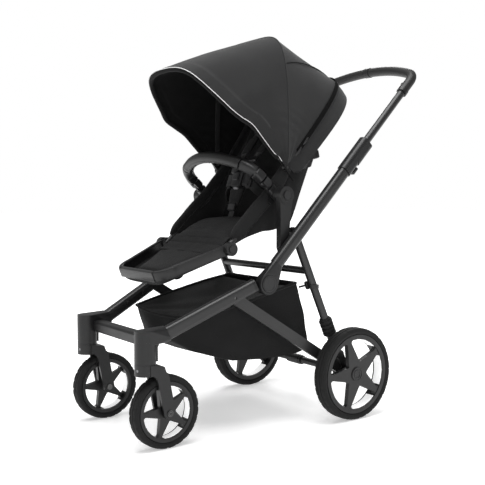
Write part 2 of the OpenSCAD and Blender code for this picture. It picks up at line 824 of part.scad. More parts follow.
module canopy_rear_bow() color(frame_black) {
    sweep(rear_bow, bow_r, 8, [0, -sin(rear_bow_lean), cos(rear_bow_lean)]);
    both_sides() {
        along_x(171.5, 175) {
            capsule(canopy_pivot, frame_shoulder, 9);
            capsule(canopy_pivot, [rear_bow[0][1], rear_bow[0][2]], 5);
        }
        disc_x(canopy_pivot, 4, 174, 188);
    }
}

module canopy_mid_bow() color(frame_black) {
    sweep(mid_bow, bow_r, 8, [0, 1, 0]);
    both_sides() bow_eye(181, 186, mid_bow[0]);
}

module canopy_rim_bow() color(frame_black) {
    sweep(rim_bow, bow_r, 8, [0, 0.75, 0.66]);
    both_sides() bow_eye(175.5, 180.5, rim_bow[0]);
}

module canopy_rear() color(cloth_black) rear_panel();
module canopy_mid() color(cloth_black) crown_panel();
module canopy_front() color(cloth_black) rim_panel();

front_yoke();
front_leg_left();
front_leg_right();
hinge_plates();
pivot_pins();
basket();
basket_studs();
push_tube_left();
push_tube_right();
hub_housings();
hub_caps();
collars();
seat_columns();
handle_tube();
handle_grip();
grip_trim();
handle_button_left();
handle_button_right();
collar_trigger_left();
collar_trigger_right();
struts();
rear_axle();
brake_pedal();
rear_leg_left();
rear_leg_right();
rear_cross_tube();
bellows();
basket_hooks();
rear_tyre_left();
rear_tyre_right();
rear_rim_left();
rear_rim_right();
fork_left();
fork_right();
front_axle_left();
front_axle_right();
front_tyre_left();
front_tyre_right();
front_rim_left();
front_rim_right();
seat_frame();
seat_joints();
seat_base();
seat_liner();
harness();
recline_button_left();
recline_button_right();
leg_rest_frame();
leg_rest_knuckles();
calf_pad();
leg_rest_button_left();
leg_rest_button_right();
bumper_bar();
bumper_ends();
canopy_rear_bow();
canopy_rear();
canopy_mid_bow();
canopy_mid();
canopy_rim_bow();
canopy_front();
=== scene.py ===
"""The looks of the baby stroller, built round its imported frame.

Sizes are in millimetres until a mesh is made."""

import json
import math

import bmesh
import bpy
import numpy as np
from mathutils import Matrix, Vector, noise


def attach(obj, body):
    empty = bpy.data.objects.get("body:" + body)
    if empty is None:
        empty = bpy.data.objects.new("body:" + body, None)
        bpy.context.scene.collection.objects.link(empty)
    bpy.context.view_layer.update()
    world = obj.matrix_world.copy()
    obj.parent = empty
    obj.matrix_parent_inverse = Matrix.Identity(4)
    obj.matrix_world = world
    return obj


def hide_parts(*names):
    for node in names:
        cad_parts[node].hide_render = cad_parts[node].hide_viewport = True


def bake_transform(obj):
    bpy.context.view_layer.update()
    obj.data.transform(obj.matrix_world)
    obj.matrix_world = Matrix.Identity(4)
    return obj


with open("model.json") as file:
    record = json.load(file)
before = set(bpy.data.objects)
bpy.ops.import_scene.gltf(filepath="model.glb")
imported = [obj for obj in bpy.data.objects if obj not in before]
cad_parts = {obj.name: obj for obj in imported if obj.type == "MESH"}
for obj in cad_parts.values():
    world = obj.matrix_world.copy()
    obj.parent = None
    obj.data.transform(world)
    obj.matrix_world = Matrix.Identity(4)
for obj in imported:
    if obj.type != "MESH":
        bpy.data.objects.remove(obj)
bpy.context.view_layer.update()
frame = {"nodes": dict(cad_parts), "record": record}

MM = 0.001
SIDES = (1, -1)
EACH_SIDE = ((1, "left"), (-1, "right"))

# Where things are in the frame, as [y, z] in the side view
MAIN_HINGE = (-137, 433)
SEAT_PIVOT = (-49, 682)
KNEE_PIVOT = (-219, 530)
CANOPY_PIVOT = (-11, 765)
BUMPER_ROOT = (-56, 685)
REAR_WHEEL = (272.5, 179, 140)
FRONT_WHEEL = (182, -430.5, 100)
CASTER_Y = -488

BAR_ANGLE = 46
BAR_RISE = 10
BAR_X = 248
HANDLE_TOP = 933
GRIP_R = 15.5
BUMPER_ANGLE = 137
BUMPER_HALF = 185
BUMPER_R = 17
LEG_REST_SLOPE = 21.3

BACK_LOW = np.array([21.0, 594.0])
BACK_HIGH = np.array([176.0, 984.0])
BACK_DIR = (BACK_HIGH - BACK_LOW) / np.linalg.norm(BACK_HIGH - BACK_LOW)
BACK_IN = np.array([-BACK_DIR[1], BACK_DIR[0]])
BACK_THICK = 38


# ---------- materials ----------

class Nodes:
    """A material's node tree, with short calls for what the finishes here have in common."""

    def __init__(self, name, color, roughness, **sockets):
        self.material = bpy.data.materials.new(name)
        self.material.use_nodes = True
        self.tree = self.material.node_tree
        self.shader = self.tree.nodes["Principled BSDF"]
        self.shader.inputs["Base Color"].default_value = (*color, 1)
        self.shader.inputs["Roughness"].default_value = roughness
        for key, value in sockets.items():
            self.shader.inputs[key.replace("_", " ")].default_value = value
        self.place = self.add("ShaderNodeTexCoord").outputs["Object"]
        self.color = color

    def add(self, kind, **settings):
        node = self.tree.nodes.new(kind)
        for key, value in settings.items():
            if key in node.inputs:
                node.inputs[key].default_value = value
            else:
                setattr(node, key, value)
        return node

    def link(self, a, b):
        self.tree.links.new(a, b)

    def noise(self, scale, detail=3):
        node = self.add("ShaderNodeTexNoise")
        node.inputs["Scale"].default_value = scale
        node.inputs["Detail"].default_value = detail
        self.link(self.place, node.inputs["Vector"])
        return node.outputs["Fac"]

    def cells(self, scale):
        node = self.add("ShaderNodeTexVoronoi")
        node.inputs["Scale"].default_value = scale
        self.link(self.place, node.inputs["Vector"])
        return node.outputs["Distance"]

    def threads(self, scale, direction):
        node = self.add("ShaderNodeTexWave", wave_type="BANDS", bands_direction=direction)
        node.inputs["Scale"].default_value = scale
        node.inputs["Distortion"].default_value = 0.6
        node.inputs["Detail"].default_value = 1
        self.link(self.place, node.inputs["Vector"])
        return node.outputs["Fac"]

    def combine(self, a, b, operation):
        node = self.add("ShaderNodeMath", operation=operation)
        self.link(a, node.inputs[0])
        self.link(b, node.inputs[1])
        return node.outputs[0]

    def spread(self, value, low, high):
        """The value, from 0 to 1, moved to run from low to high."""
        node = self.add("ShaderNodeMapRange")
        node.inputs["To Min"].default_value = low
        node.inputs["To Max"].default_value = high
        self.link(value, node.inputs["Value"])
        return node.outputs["Result"]

    def vary_color(self, value, darker, lighter):
        """Lets the base colour drift between two strengths of itself."""
        node = self.add("ShaderNodeMix", data_type="RGBA")
        node.inputs[6].default_value = (*[c * darker for c in self.color], 1)
        node.inputs[7].default_value = (*[c * lighter for c in self.color], 1)
        self.link(value, node.inputs[0])
        self.link(node.outputs[2], self.shader.inputs["Base Color"])

    def vary_roughness(self, value, low, high):
        self.link(self.spread(value, low, high), self.shader.inputs["Roughness"])

    def bump(self, height, distance, strength=1.0):
        node = self.add("ShaderNodeBump")
        node.inputs["Strength"].default_value = strength
        node.inputs["Distance"].default_value = distance
        self.link(height, node.inputs["Height"])
        self.link(node.outputs["Normal"], self.shader.inputs["Normal"])


def powder_coat(name, level, roughness):
    nodes = Nodes(name, (level, level, level * 1.03), roughness, Specular_IOR_Level=0.45)
    grain = nodes.noise(1900, 2)
    drift = nodes.noise(14)
    nodes.vary_color(drift, 0.88, 1.12)
    nodes.vary_roughness(drift, roughness - 0.05, roughness + 0.06)
    nodes.bump(grain, 0.00006, 0.35)
    return nodes.material


def spark_plastic(name, level, roughness):
    nodes = Nodes(name, (level, level, level * 1.04), roughness, Specular_IOR_Level=0.37)
    grain = nodes.combine(nodes.noise(900, 4), nodes.cells(1300), "MULTIPLY")
    wear = nodes.noise(22)
    nodes.vary_color(wear, 0.85, 1.15)
    nodes.vary_roughness(wear, roughness - 0.06, roughness + 0.08)
    nodes.bump(grain, 0.0001, 0.45)
    return nodes.material


def rubber(name, level):
    nodes = Nodes(name, (level, level, level), 0.78, Specular_IOR_Level=0.28)
    dust = nodes.noise(30, 5)
    nodes.vary_color(dust, 0.8, 1.3)
    nodes.vary_roughness(dust, 0.7, 0.88)
    nodes.bump(nodes.noise(1100, 3), 0.00025, 0.7)
    return nodes.material


def leather(name, level):
    nodes = Nodes(name, (level, level * 0.98, level * 0.97), 0.42, Specular_IOR_Level=0.38)
    grain = nodes.combine(nodes.cells(520), nodes.noise(260, 4), "MULTIPLY")
    drift = nodes.noise(35)
    nodes.vary_color(drift, 0.85, 1.2)
    nodes.vary_roughness(grain, 0.52, 0.34)
    nodes.bump(grain, 0.0003, 0.5)
    return nodes.material


def woven(name, level, threads_per_metre, sheen, roughness=0.85, relief=0.0003):
    """Plain weave: two thread directions that cross, with a soft sheen and small changes of shade."""
    nodes = Nodes(
        name, (level, level, level * 1.02), roughness,
        Sheen_Weight=sheen, Sheen_Roughness=0.5, Specular_IOR_Level=0.14,
    )
    across = nodes.threads(threads_per_metre, "X")
    along = nodes.threads(threads_per_metre, "Z")
    deep = nodes.threads(threads_per_metre, "Y")
    weave = nodes.combine(nodes.combine(across, along, "MULTIPLY"), deep, "ADD")
    nodes.vary_color(nodes.noise(9, 4), 0.82, 1.18)
    nodes.bump(nodes.combine(weave, nodes.noise(700, 2), "ADD"), relief, 0.4)
    return nodes.material


def webbing_weave(name, level):
    nodes = Nodes(name, (level, level, level), 0.7, Sheen_Weight=0.15, Specular_IOR_Level=0.3)
    ribs = nodes.threads(420, "Z")
    nodes.vary_color(ribs, 0.75, 1.25)
    nodes.bump(ribs, 0.0004, 0.8)
    return nodes.material


def brushed_metal(name, level, roughness):
    nodes = Nodes(name, (level, level, level), roughness, Metallic=1.0)
    scratches = nodes.noise(420, 6)
    nodes.vary_roughness(scratches, roughness - 0.08, roughness + 0.12)
    nodes.bump(scratches, 0.00008, 0.5)
    return nodes.material


def bow_metal(name, level, roughness):
    """The middle bow: bare metal, with its plastic eyes dark round the canopy pivot."""
    nodes = Nodes(name, (level, level, level), roughness, Metallic=0.6)
    flat = nodes.add("ShaderNodeVectorMath", operation="MULTIPLY")
    flat.inputs[1].default_value = (0, 1, 1)
    nodes.link(nodes.place, flat.inputs[0])
    away = nodes.add("ShaderNodeVectorMath", operation="DISTANCE")
    nodes.link(flat.outputs["Vector"], away.inputs[0])
    away.inputs[1].default_value = (0, CANOPY_PIVOT[0] * MM, CANOPY_PIVOT[1] * MM)
    bare = nodes.add("ShaderNodeMapRange")
    bare.inputs["From Min"].default_value = 0.016
    bare.inputs["From Max"].default_value = 0.02
    nodes.link(away.outputs["Value"], bare.inputs["Value"])
    nodes.vary_color(bare.outputs["Result"], 0.04, 1.0)
    nodes.vary_roughness(nodes.noise(420, 6), roughness - 0.08, roughness + 0.12)
    return nodes.material


def woven_light(name, level, glow):
    """The pale trims: piping and the wheels' bright strips. A glow above zero is a painted glow, light the
    trim gives off of its own.
    """
    nodes = Nodes(name, (level, level, level), 0.55, Emission_Strength=glow)
    nodes.shader.inputs["Emission Color"].default_value = (1, 1, 1, 1)
    nodes.vary_color(nodes.noise(140, 3), 0.93, 1.05)
    nodes.bump(nodes.cells(1500), 0.0001, 0.5)
    return nodes.material


FINISHES = {
    "frame_tube": powder_coat("frame_powder_coat", 0.012, 0.36),
    "inner_tube": powder_coat("inner_tube_anodised", 0.01, 0.34),
    "moulded_plastic": spark_plastic("moulded_plastic_spark", 0.008, 0.4),
    "button_plastic": spark_plastic("button_plastic_fine", 0.012, 0.36),
    "rim_plastic": spark_plastic("rim_plastic_satin", 0.007, 0.36),
    "tyre_rubber": rubber("tyre_rubber", 0.008),
    "bellows_rubber": rubber("bellows_rubber", 0.01),
    "steel": brushed_metal("dark_steel", 0.12, 0.36),
    "grip_leather": leather("grip_leather", 0.009),
    "canopy_fabric": woven("canopy_twill", 0.0175, 260, 0.12),
    "seat_fabric": woven("seat_weave", 0.011, 320, 0.06),
    "basket_fabric": woven("basket_canvas", 0.009, 240, 0.05),
    "webbing": webbing_weave("harness_webbing", 0.01),
    "buckle_plastic": spark_plastic("buckle_plastic_satin", 0.016, 0.34),
    "buckle_button": spark_plastic("buckle_button_grey", 0.22, 0.4),
}
LINING = woven("canopy_lining", 0.006, 330, 0.03)
SLEEVE = woven("bow_sleeve", 0.016, 300, 0.1)
ZIP = woven("zip_tape", 0.0025, 420, 0.0, 0.95)
PIPING = woven_light("pale_piping", 0.7, 0.0)
# The wheels' strips: pale cloth with a painted glow, their emission lighting them beyond what the lamps give
PALE_STRIP_PAINTED_GLOW = woven_light("pale_strip_painted_glow", 0.8, 0.5)
ROD = bow_metal("bow_rod", 0.22, 0.34)

for row in frame["record"]["subparts"]:
    node = frame["nodes"][row["node"]]
    node.data.materials.clear()
    node.data.materials.append(FINISHES[row["material_slot"]])
frame["nodes"]["canopy_mid_bow"].data.materials[0] = ROD
for name in ("basket_hooks", "basket_studs"):
    frame["nodes"][name].data.materials[0] = FINISHES["button_plastic"]
for node in frame["nodes"].values():
    for polygon in node.data.polygons:
        polygon.use_smooth = True
    node.data.set_sharp_from_angle(angle=math.radians(32))


# ---------- lines and meshes ----------

def points_on(origin, angle, rows):
    """Points of a frame that is turned about X by angle at origin [y, z], as world points."""
    rows = np.array(rows, float)
    c, s = math.cos(math.radians(angle)), math.sin(math.radians(angle))
    x, y, z = rows[..., 0], rows[..., 1], rows[..., 2]
    return np.stack([x, origin[0] + y * c - z * s, origin[1] + y * s + z * c], -1)


def on_bar(rows):
    rows = np.array(rows, float)
    rows[..., 2] += BAR_RISE
    return points_on(MAIN_HINGE, BAR_ANGLE, rows)


def on_bumper(rows):
    return points_on(BUMPER_ROOT, BUMPER_ANGLE, rows)


def on_leg_rest(rows):
    return points_on(KNEE_PIVOT, LEG_REST_SLOPE, rows)


def curve_through(points, steps=8):
    """A smooth line through the points, with steps pieces between each two."""
    p = np.array(points, float)
    p = np.vstack([2 * p[0] - p[1], p, 2 * p[-1] - p[-2]])
    line = []
    for i in range(1, len(p) - 2):
        a, b, c, d = p[i - 1:i + 3]
        for k in range(steps):
            t = k / steps
            line.append(b + 0.5 * t * (c - a + t * (2 * a - 5 * b + 4 * c - d + t * (3 * (b - c) + d - a))))
    return np.array(line + [p[-2]])


def evenly(points, count):
    """The same line, as count points at equal distances."""
    p = np.array(points, float)
    far = np.concatenate([[0], np.cumsum(np.linalg.norm(np.diff(p, axis=0), axis=1))])
    at = np.linspace(0, far[-1], count)
    return np.stack([np.interp(at, far, p[:, k]) for k in range(p.shape[1])], -1)


def arch_line(half, corner_r, arch_r, top, start):
    """The centreline of a bar that bends from straight arms into a wide arch, in its own XY plane."""
    arch_y = top - arch_r
    corner_x = half - corner_r
    corner_y = arch_y + math.sqrt((arch_r - corner_r) ** 2 - corner_x ** 2)
    turn = math.atan2(corner_y - arch_y, corner_x)
    left = [(half, start + (corner_y - start) * k / 6, 0) for k in range(6)]
    for k in range(13):
        a = turn * k / 12
        left.append((corner_x + corner_r * math.cos(a), corner_y + corner_r * math.sin(a), 0))
    for k in range(1, 25):
        a = turn + (math.pi / 2 - turn) * k / 24
        left.append((arch_r * math.cos(a), arch_y + arch_r * math.sin(a), 0))
    return np.array(left + [(-x, y, z) for x, y, z in left[-2::-1]])


def circle(r, count=16):
    a = np.arange(count) * 2 * math.pi / count
    return np.stack([r * np.cos(a), r * np.sin(a)], -1)


def rounded(w, h, r, per_corner=5):
    """A rounded rectangle, w by h, as a closed outline."""
    outline = []
    for k, (i, j) in enumerate(((1, 1), (-1, 1), (-1, -1), (1, -1))):
        for a in np.linspace(0, math.pi / 2, per_corner) + k * math.pi / 2:
            outline.append((i * (w / 2 - r) + r * math.cos(a), j * (h / 2 - r) + r * math.sin(a)))
    return np.array(outline)


def ahead_along(line):
    """The unit direction of the line at each of its points."""
    ahead = np.gradient(line, axis=0)
    return ahead / np.linalg.norm(ahead, axis=1)[:, None]


def ribbon(line, side, up, outline):
    """A closed bar of the outline along the line, with the outline's axes given at each point."""
    n, m = len(line), len(outline)
    rings = line[:, None] + outline[None, :, :1] * side[:, None] + outline[None, :, 1:] * up[:, None]
    faces = grid_faces(n, m, wrap=True)
    faces += [tuple(range(m - 1, -1, -1)), tuple((n - 1) * m + k for k in range(m))]
    return rings.reshape(-1, 3), faces


def sweep(line, outline, flat=None, sizes=None):
    """A closed bar of the outline along the line. flat is a direction the line never takes: the outline's
    first axis stands square to it. sizes scales the outline at each point."""
    line = np.array(line, float)
    ahead = ahead_along(line)
    rings = []
    side = None
    for i, (p, d) in enumerate(zip(line, ahead)):
        if flat is not None:
            side = np.cross(d, np.array(flat, float))
        elif side is None:
            side = np.cross(d, (0, 0, 1) if abs(d[2]) < 0.9 else (1, 0, 0))
        side = side - d * (side @ d)
        side /= np.linalg.norm(side)
        up = np.cross(d, side)
        o = outline * (1 if sizes is None else np.array(sizes[i]))
        rings.append(p + o[:, :1] * side + o[:, 1:] * up)
    n, m = len(rings), len(outline)
    faces = [
        (i * m + k, i * m + (k + 1) % m, (i + 1) * m + (k + 1) % m, (i + 1) * m + k)
        for i in range(n - 1) for k in range(m)
    ]
    faces += [tuple(range(m - 1, -1, -1)), tuple((n - 1) * m + k for k in range(m))]
    return np.vstack(rings), faces


def soft_ends(count, ends=3, least=0.55):
    """Sizes for a sweep whose two ends round off."""
    sizes = np.ones(count)
    for k in range(ends):
        share = least + (1 - least) * math.sin(math.pi / 2 * k / ends)
        sizes[k] = share
        sizes[count - 1 - k] = share
    return np.stack([sizes, sizes], -1)


def lathe(profile, at, steps=96, turn=0.0):
    """A closed ring or disc about the X axis at [x, y, z]. The profile is a closed outline of (x, radius);
    turn, where given, moves each point's radius: turn(x, radius, angle)."""
    profile = np.array(profile, float)
    m = len(profile)
    verts = []
    for k in range(steps):
        a = 2 * math.pi * k / steps
        for x, r in profile:
            if turn:
                r = turn(x, r, a)
            verts.append((at[0] + x, at[1] + r * math.cos(a), at[2] + r * math.sin(a)))
    faces = [
        (i * m + k, i * m + (k + 1) % m, ((i + 1) % steps) * m + (k + 1) % m, ((i + 1) % steps) * m + k)
        for i in range(steps) for k in range(m)
    ]
    return np.array(verts), faces


def grid_faces(rows, cols, offset=0, wrap=False):
    last = cols if wrap else cols - 1
    return [
        (offset + i * cols + k, offset + i * cols + (k + 1) % cols,
         offset + (i + 1) * cols + (k + 1) % cols, offset + (i + 1) * cols + k)
        for i in range(rows - 1) for k in range(last)
    ]


def pillow(top, bottom):
    """A closed form between two grids of points that have the same border."""
    rows, cols = top.shape[:2]
    verts = np.vstack([top.reshape(-1, 3), bottom.reshape(-1, 3)])
    faces = grid_faces(rows, cols)
    faces += [f[::-1] for f in grid_faces(rows, cols, rows * cols)]
    return verts, faces


def block(at, w, d, h, r, turn=0.0):
    """A rounded block, w by d by h at [x, y, z], leaning by turn degrees about X."""
    low = sweep([(0, 0, -h / 2), (0, 0, -h / 2 + r), (0, 0, h / 2 - r), (0, 0, h / 2)],
                rounded(w, d, min(w, d) * 0.3), (0, 1, 0),
                [(1 - 2 * r / w, 1 - 2 * r / d), (1, 1), (1, 1), (1 - 2 * r / w, 1 - 2 * r / d)])
    c, s = math.cos(math.radians(turn)), math.sin(math.radians(turn))
    x, y, z = low[0].T
    return np.stack([at[0] + x, at[1] + y * c - z * s, at[2] + y * s + z * c], -1), low[1]


def finish_of(finish):
    """The material and the slot of a finish: a slot's name, or a look and the slot it stands for."""
    look, slot = (finish, finish) if isinstance(finish, str) else finish
    return FINISHES[look] if isinstance(look, str) else look, slot


def make(name, parts, finish, body=None, merge=0.02, lining=None, sharp=40):
    """One object out of several closed meshes, with its normals outwards."""
    material, slot = finish_of(finish)
    mesh = bmesh.new()
    for verts, faces in parts if isinstance(parts, list) else [parts]:
        made = [mesh.verts.new(tuple(v * MM)) for v in verts]
        for f in faces:
            corners = [made[k] for k in f]
            if len(set(corners)) == len(corners):
                mesh.faces.new(corners)
    bmesh.ops.remove_doubles(mesh, verts=mesh.verts, dist=merge * MM)
    bmesh.ops.dissolve_degenerate(mesh, edges=mesh.edges, dist=merge * MM / 2)
    bmesh.ops.recalc_face_normals(mesh, faces=mesh.faces)
    data = bpy.data.meshes.new(name)
    mesh.to_mesh(data)
    mesh.free()
    data.materials.append(material)
    if lining:
        data.materials.append(lining)
    for polygon in data.polygons:
        polygon.use_smooth = True
    data.set_sharp_from_angle(angle=math.radians(sharp))
    obj = bpy.data.objects.new(name, data)
    bpy.context.scene.collection.objects.link(obj)
    if body:
        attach(obj, body)
    return obj


def apply_modifiers(obj):
    graph = bpy.context.evaluated_depsgraph_get()
    data = bpy.data.meshes.new_from_object(obj.evaluated_get(graph))
    obj.modifiers.clear()
    obj.data = data
    for polygon in data.polygons:
        polygon.use_smooth = True
    data.set_sharp_from_angle(angle=math.radians(50))


def cloth_sheet(name, grids, thick, finish, lining=None, inwards=True, wraps=()):
    """One sheet of cloth out of grids of points that share their borders, made thick about its middle."""
    verts, faces, start = [], [], 0
    for k, grid in enumerate(grids):
        rows, cols = grid.shape[:2]
        verts.append(grid.reshape(-1, 3))
        faces += grid_faces(rows, cols, start, wrap=k in wraps)
        start += rows * cols
    obj = make(name, (np.vstack(verts), faces), finish, merge=0.4, lining=lining)
    solid = obj.modifiers.new("thickness", "SOLIDIFY")
    solid.thickness = thick * MM
    solid.offset = -1 if inwards else 0
    solid.use_even_offset = False
    solid.use_rim = True
    if lining:
        solid.material_offset = 1
    apply_modifiers(obj)
    return obj


def weights(obj, share):
    """Works out how far each point of a blended piece would follow the second body: share(points in mm),
    clipped from 0 to 1. The result is not stored on the piece.
    """
    co = np.array([v.co for v in obj.data.vertices], float) / MM
    w = np.clip(share(co), 0, 1).astype(np.float32)


def ripple(points, size, depth, seed=0.0):
    """A small smooth unevenness for each point, in mm."""
    flat = points.reshape(-1, 3)
    lift = [noise.noise(Vector(p) / size + Vector((seed, seed, seed))) for p in flat]
    return np.array(lift).reshape(points.shape[:-1]) * depth


def fullness(u, v, power=8):
    """How full a pad is at (u, v), which run from -1 to 1: 1 in the middle and 0 along its edge."""
    return np.sqrt(np.clip(1 - np.abs(u) ** power, 0, 1) * np.clip(1 - np.abs(v) ** power, 0, 1))


def groove(distance, width):
    return np.exp(-(distance / width) ** 2)


# ---------- cloth simulation ----------

def swell(obj, pinned, pressure, cap, frames=14):
    """A short cloth simulation with air inside the piece, between its pinned seams. No point goes further
    than cap millimetres, and the result is applied to the mesh."""
    scene = bpy.context.scene
    rest = np.array([v.co for v in obj.data.vertices], float)
    hold = obj.vertex_groups.new(name="seams")
    hold.add([int(k) for k in np.nonzero(pinned(rest / MM))[0]], 1.0, "REPLACE")
    cloth = obj.modifiers.new("swell", "CLOTH")
    cloth.settings.quality = 5
    cloth.settings.mass = 0.25
    cloth.settings.tension_stiffness = 12
    cloth.settings.compression_stiffness = 12
    cloth.settings.bending_stiffness = 0.4
    cloth.settings.vertex_group_mass = "seams"
    cloth.settings.use_pressure = True
    cloth.settings.uniform_pressure_force = pressure
    cloth.settings.effector_weights.gravity = 0
    cloth.point_cache.frame_start = 1
    cloth.point_cache.frame_end = frames
    for f in range(1, frames + 1):
        scene.frame_set(f)
    graph = bpy.context.evaluated_depsgraph_get()
    shaped = obj.evaluated_get(graph).to_mesh()
    moved = np.array([v.co for v in shaped.vertices], float)
    step = moved - rest
    length = np.maximum(np.linalg.norm(step, axis=1, keepdims=True), 1e-9)
    step *= np.minimum(1, cap * MM / length)
    obj.modifiers.clear()
    obj.vertex_groups.clear()
    obj.data.vertices.foreach_set("co", (rest + step).ravel())
    obj.data.update()
    scene.frame_set(1)


# ---------- canopy ----------

HALF_STEPS = 12
FINE = 6
# The fabric's lines start one step below the bows' own first point, at the pivot
BELOW = 1
PER_HALF = (HALF_STEPS + BELOW) * FINE
RIM = [
    (186, -18, 766), (184, -40, 796), (189, -61, 805), (191, -102, 845), (192, -141, 883),
    (188, -178, 903), (188, -213, 924), (175, -235, 948), (158, -262, 977), (141, -286, 1003),
    (117, -306, 1026), (84, -318, 1040), (42, -324, 1046), (0, -325, 1047),
]
# Each bow's half width, rise, powers of its sides and top, and lean
REAR_LEAN = 49
MID_BOW = (193, 398, 5.4, 3.6, 90)
REAR_BOW = (182, 388, 4.6, 4.2, REAR_LEAN)
BAND_W = 52
BAND_GAIN = 12


def bow_turn(i):
    if i < 0:
        return math.radians(0.9 * 0.03 ** -i)
    return math.radians(0.9 + 89.1 * (i / HALF_STEPS) ** 1.3)


def bow_point(bow, i):
    half, rise, side_power, top_power, lean = bow
    t = bow_turn(i)
    r = rise * math.sin(t) ** (2 / top_power)
    lean = math.radians(lean)
    return (half * max(0.0, math.cos(t)) ** (2 / side_power) - 4 * math.exp(-(r / 30) ** 2),
            CANOPY_PIVOT[0] + r * math.cos(lean), CANOPY_PIVOT[1] + r * math.sin(lean))


def band_point(i):
    lean = math.radians(REAR_LEAN)
    width = (BAND_W + BAND_GAIN * math.sin(math.radians(15 * i))) * (1 - 0.25 * min(0, i) ** 2)
    x, y, z = bow_point(REAR_BOW, i)
    return x, y + width * math.sin(lean), z - width * math.cos(lean)


def skirt_point(i):
    t = bow_turn(i)
    r = 250 * math.sin(t) ** 0.5
    return (172 * max(0.0, math.cos(t)) ** 0.5, 92 + r * BACK_DIR[0], 765 + r * BACK_DIR[1])


def over_canopy(point):
    """The whole of a canopy line from the left pivot to the right one, as evenly numbered points."""
    left = [point(k / FINE - BELOW) for k in range(PER_HALF + 1)]
    return np.array(left + [(-x, y, z) for x, y, z in left[-2::-1]])


RIM_WHOLE = RIM + [(-x, y, z) for x, y, z in RIM[-2::-1]]
RIM_LINE = curve_through(RIM_WHOLE, FINE)
MID_LINE = over_canopy(lambda i: bow_point(MID_BOW, i))
REAR_LINE = over_canopy(lambda i: bow_point(REAR_BOW, i))
BAND_LINE = over_canopy(band_point)
SKIRT_LINE = over_canopy(skirt_point)
STEP_AT = np.linspace(0, 2 * PER_HALF / FINE, len(MID_LINE))
FROM_PIVOT = np.minimum(STEP_AT, STEP_AT[::-1])


def inwards(line, depth):
    """The line moved in from the fabric's outside towards the pivot line."""
    d = line[:, 1:] - np.array(CANOPY_PIVOT)
    r = np.linalg.norm(d, axis=1, keepdims=True)
    return np.hstack([line[:, :1] * (1 - depth / 200), np.array(CANOPY_PIVOT) + d * (r - depth) / r])


def turn_of(points):
    """The angle of points about the canopy pivot in the side view, in degrees from +Y."""
    return np.degrees(np.arctan2(points[:, 2] - CANOPY_PIVOT[1], points[:, 1] - CANOPY_PIVOT[0]))


def panel(a, b, shares, bulge, folds):
    """The rows of points from line a to line b. shares gives each row's place at each step, and the fabric
    stands off by bulge in the middle and by small folds that run out from the pivots."""
    rows = a[None] + (b - a)[None] * shares[..., None]
    out = rows - np.array([0, *CANOPY_PIVOT])
    out /= np.maximum(np.linalg.norm(out, axis=-1, keepdims=True), 1e-9)
    near = np.exp(-(FROM_PIVOT / 2.6) ** 2)[None]
    crease = folds * near * np.sin(shares * math.pi) * np.sin(shares * 17 + FROM_PIVOT[None] * 0.7)
    lift = bulge * np.sin(shares * math.pi) * np.clip(FROM_PIVOT / 4, 0, 1)[None] + crease
    reach = np.linalg.norm(rows[..., 1:] - np.array(CANOPY_PIVOT), axis=-1)
    slack = np.exp(-((reach - 125) / 45) ** 2) * np.clip(np.abs(rows[..., 1] - CANOPY_PIVOT[0]) / 12, 0, 1)
    slack = slack * np.exp(-((rows[..., 1] - CANOPY_PIVOT[0]) / 70) ** 2)
    lift = lift + slack * 1.6 * np.sin(reach / 4.6 + rows[..., 1] / 17)
    lift = lift + ripple(rows, 55, 1.3) * np.sin(shares * math.pi)
    return rows + out * lift[..., None]


def share_between(first, last):
    """Each point's share of the way from one line to the other, by its angle about the canopy pivot."""
    def share(points):
        radius = np.hypot(points[:, 1] - CANOPY_PIVOT[0], points[:, 2] - CANOPY_PIVOT[1])
        first_turn = np.interp(radius, *turns_by_radius(first))
        last_turn = np.interp(radius, *turns_by_radius(last))
        across = last_turn - first_turn
        return (turn_of(points) - first_turn) / np.where(np.abs(across) < 1e-6, 1e-6, across)
    return share


def turns_by_radius(line):
    half = line[:PER_HALF + 1]
    radius = np.hypot(half[:, 1] - CANOPY_PIVOT[0], half[:, 2] - CANOPY_PIVOT[1])
    order = np.argsort(radius)
    return radius[order], turn_of(half)[order]


HEM = 40
VENT_FROM = 6.25
VENT_TO = 10.6


def canopy_panels():
    gap = 0.004
    # The visor: its first rows make the hem band, which lies a little proud of the rest
    length = np.linalg.norm(MID_LINE - RIM_LINE, axis=1)
    hem = np.clip(HEM / length, 0, 0.45)
    body = np.linspace(0, 1, 22)[:, None]
    shares = np.vstack([np.linspace(0, 1, 7)[:, None] * hem, hem + 0.006 + (1 - gap - hem - 0.006) * body])
    visor = panel(RIM_LINE, MID_LINE, shares, 5, 0.5)
    out = visor[:7] - np.array([0, *CANOPY_PIVOT])
    visor[:7] += 0.9 * out / np.linalg.norm(out, axis=-1, keepdims=True)
    piece = cloth_sheet("canopy_visor_cloth", [visor], 3, "canopy_fabric", LINING)
    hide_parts("canopy_front")
    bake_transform(piece)
    weights(piece, share_between(MID_LINE, RIM_LINE))

    crown_shares = np.linspace(gap, 1 - gap, 24)[:, None] * np.ones(len(MID_LINE))
    crown = panel(MID_LINE, REAR_LINE, crown_shares, -3.0, 0.5)
    piece = cloth_sheet("canopy_crown_cloth", [crown], 3, "canopy_fabric", LINING)
    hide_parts("canopy_mid")
    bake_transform(piece)
    weights(piece, share_between(REAR_LINE, MID_LINE))

    band = np.linspace(gap, 1, 7)[:, None] * np.ones(len(MID_LINE))
    skirt = np.linspace(0, 1, 18)[1:, None] * np.ones(len(MID_LINE))
    upper = panel(REAR_LINE, BAND_LINE, band, 1.5, 0)
    lower = panel(BAND_LINE, SKIRT_LINE, skirt, -9, 0.5)
    piece = cloth_sheet("canopy_rear_cloth", [np.vstack([upper, lower])], 3, "canopy_fabric", LINING)
    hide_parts("canopy_rear")
    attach(piece, "seat")


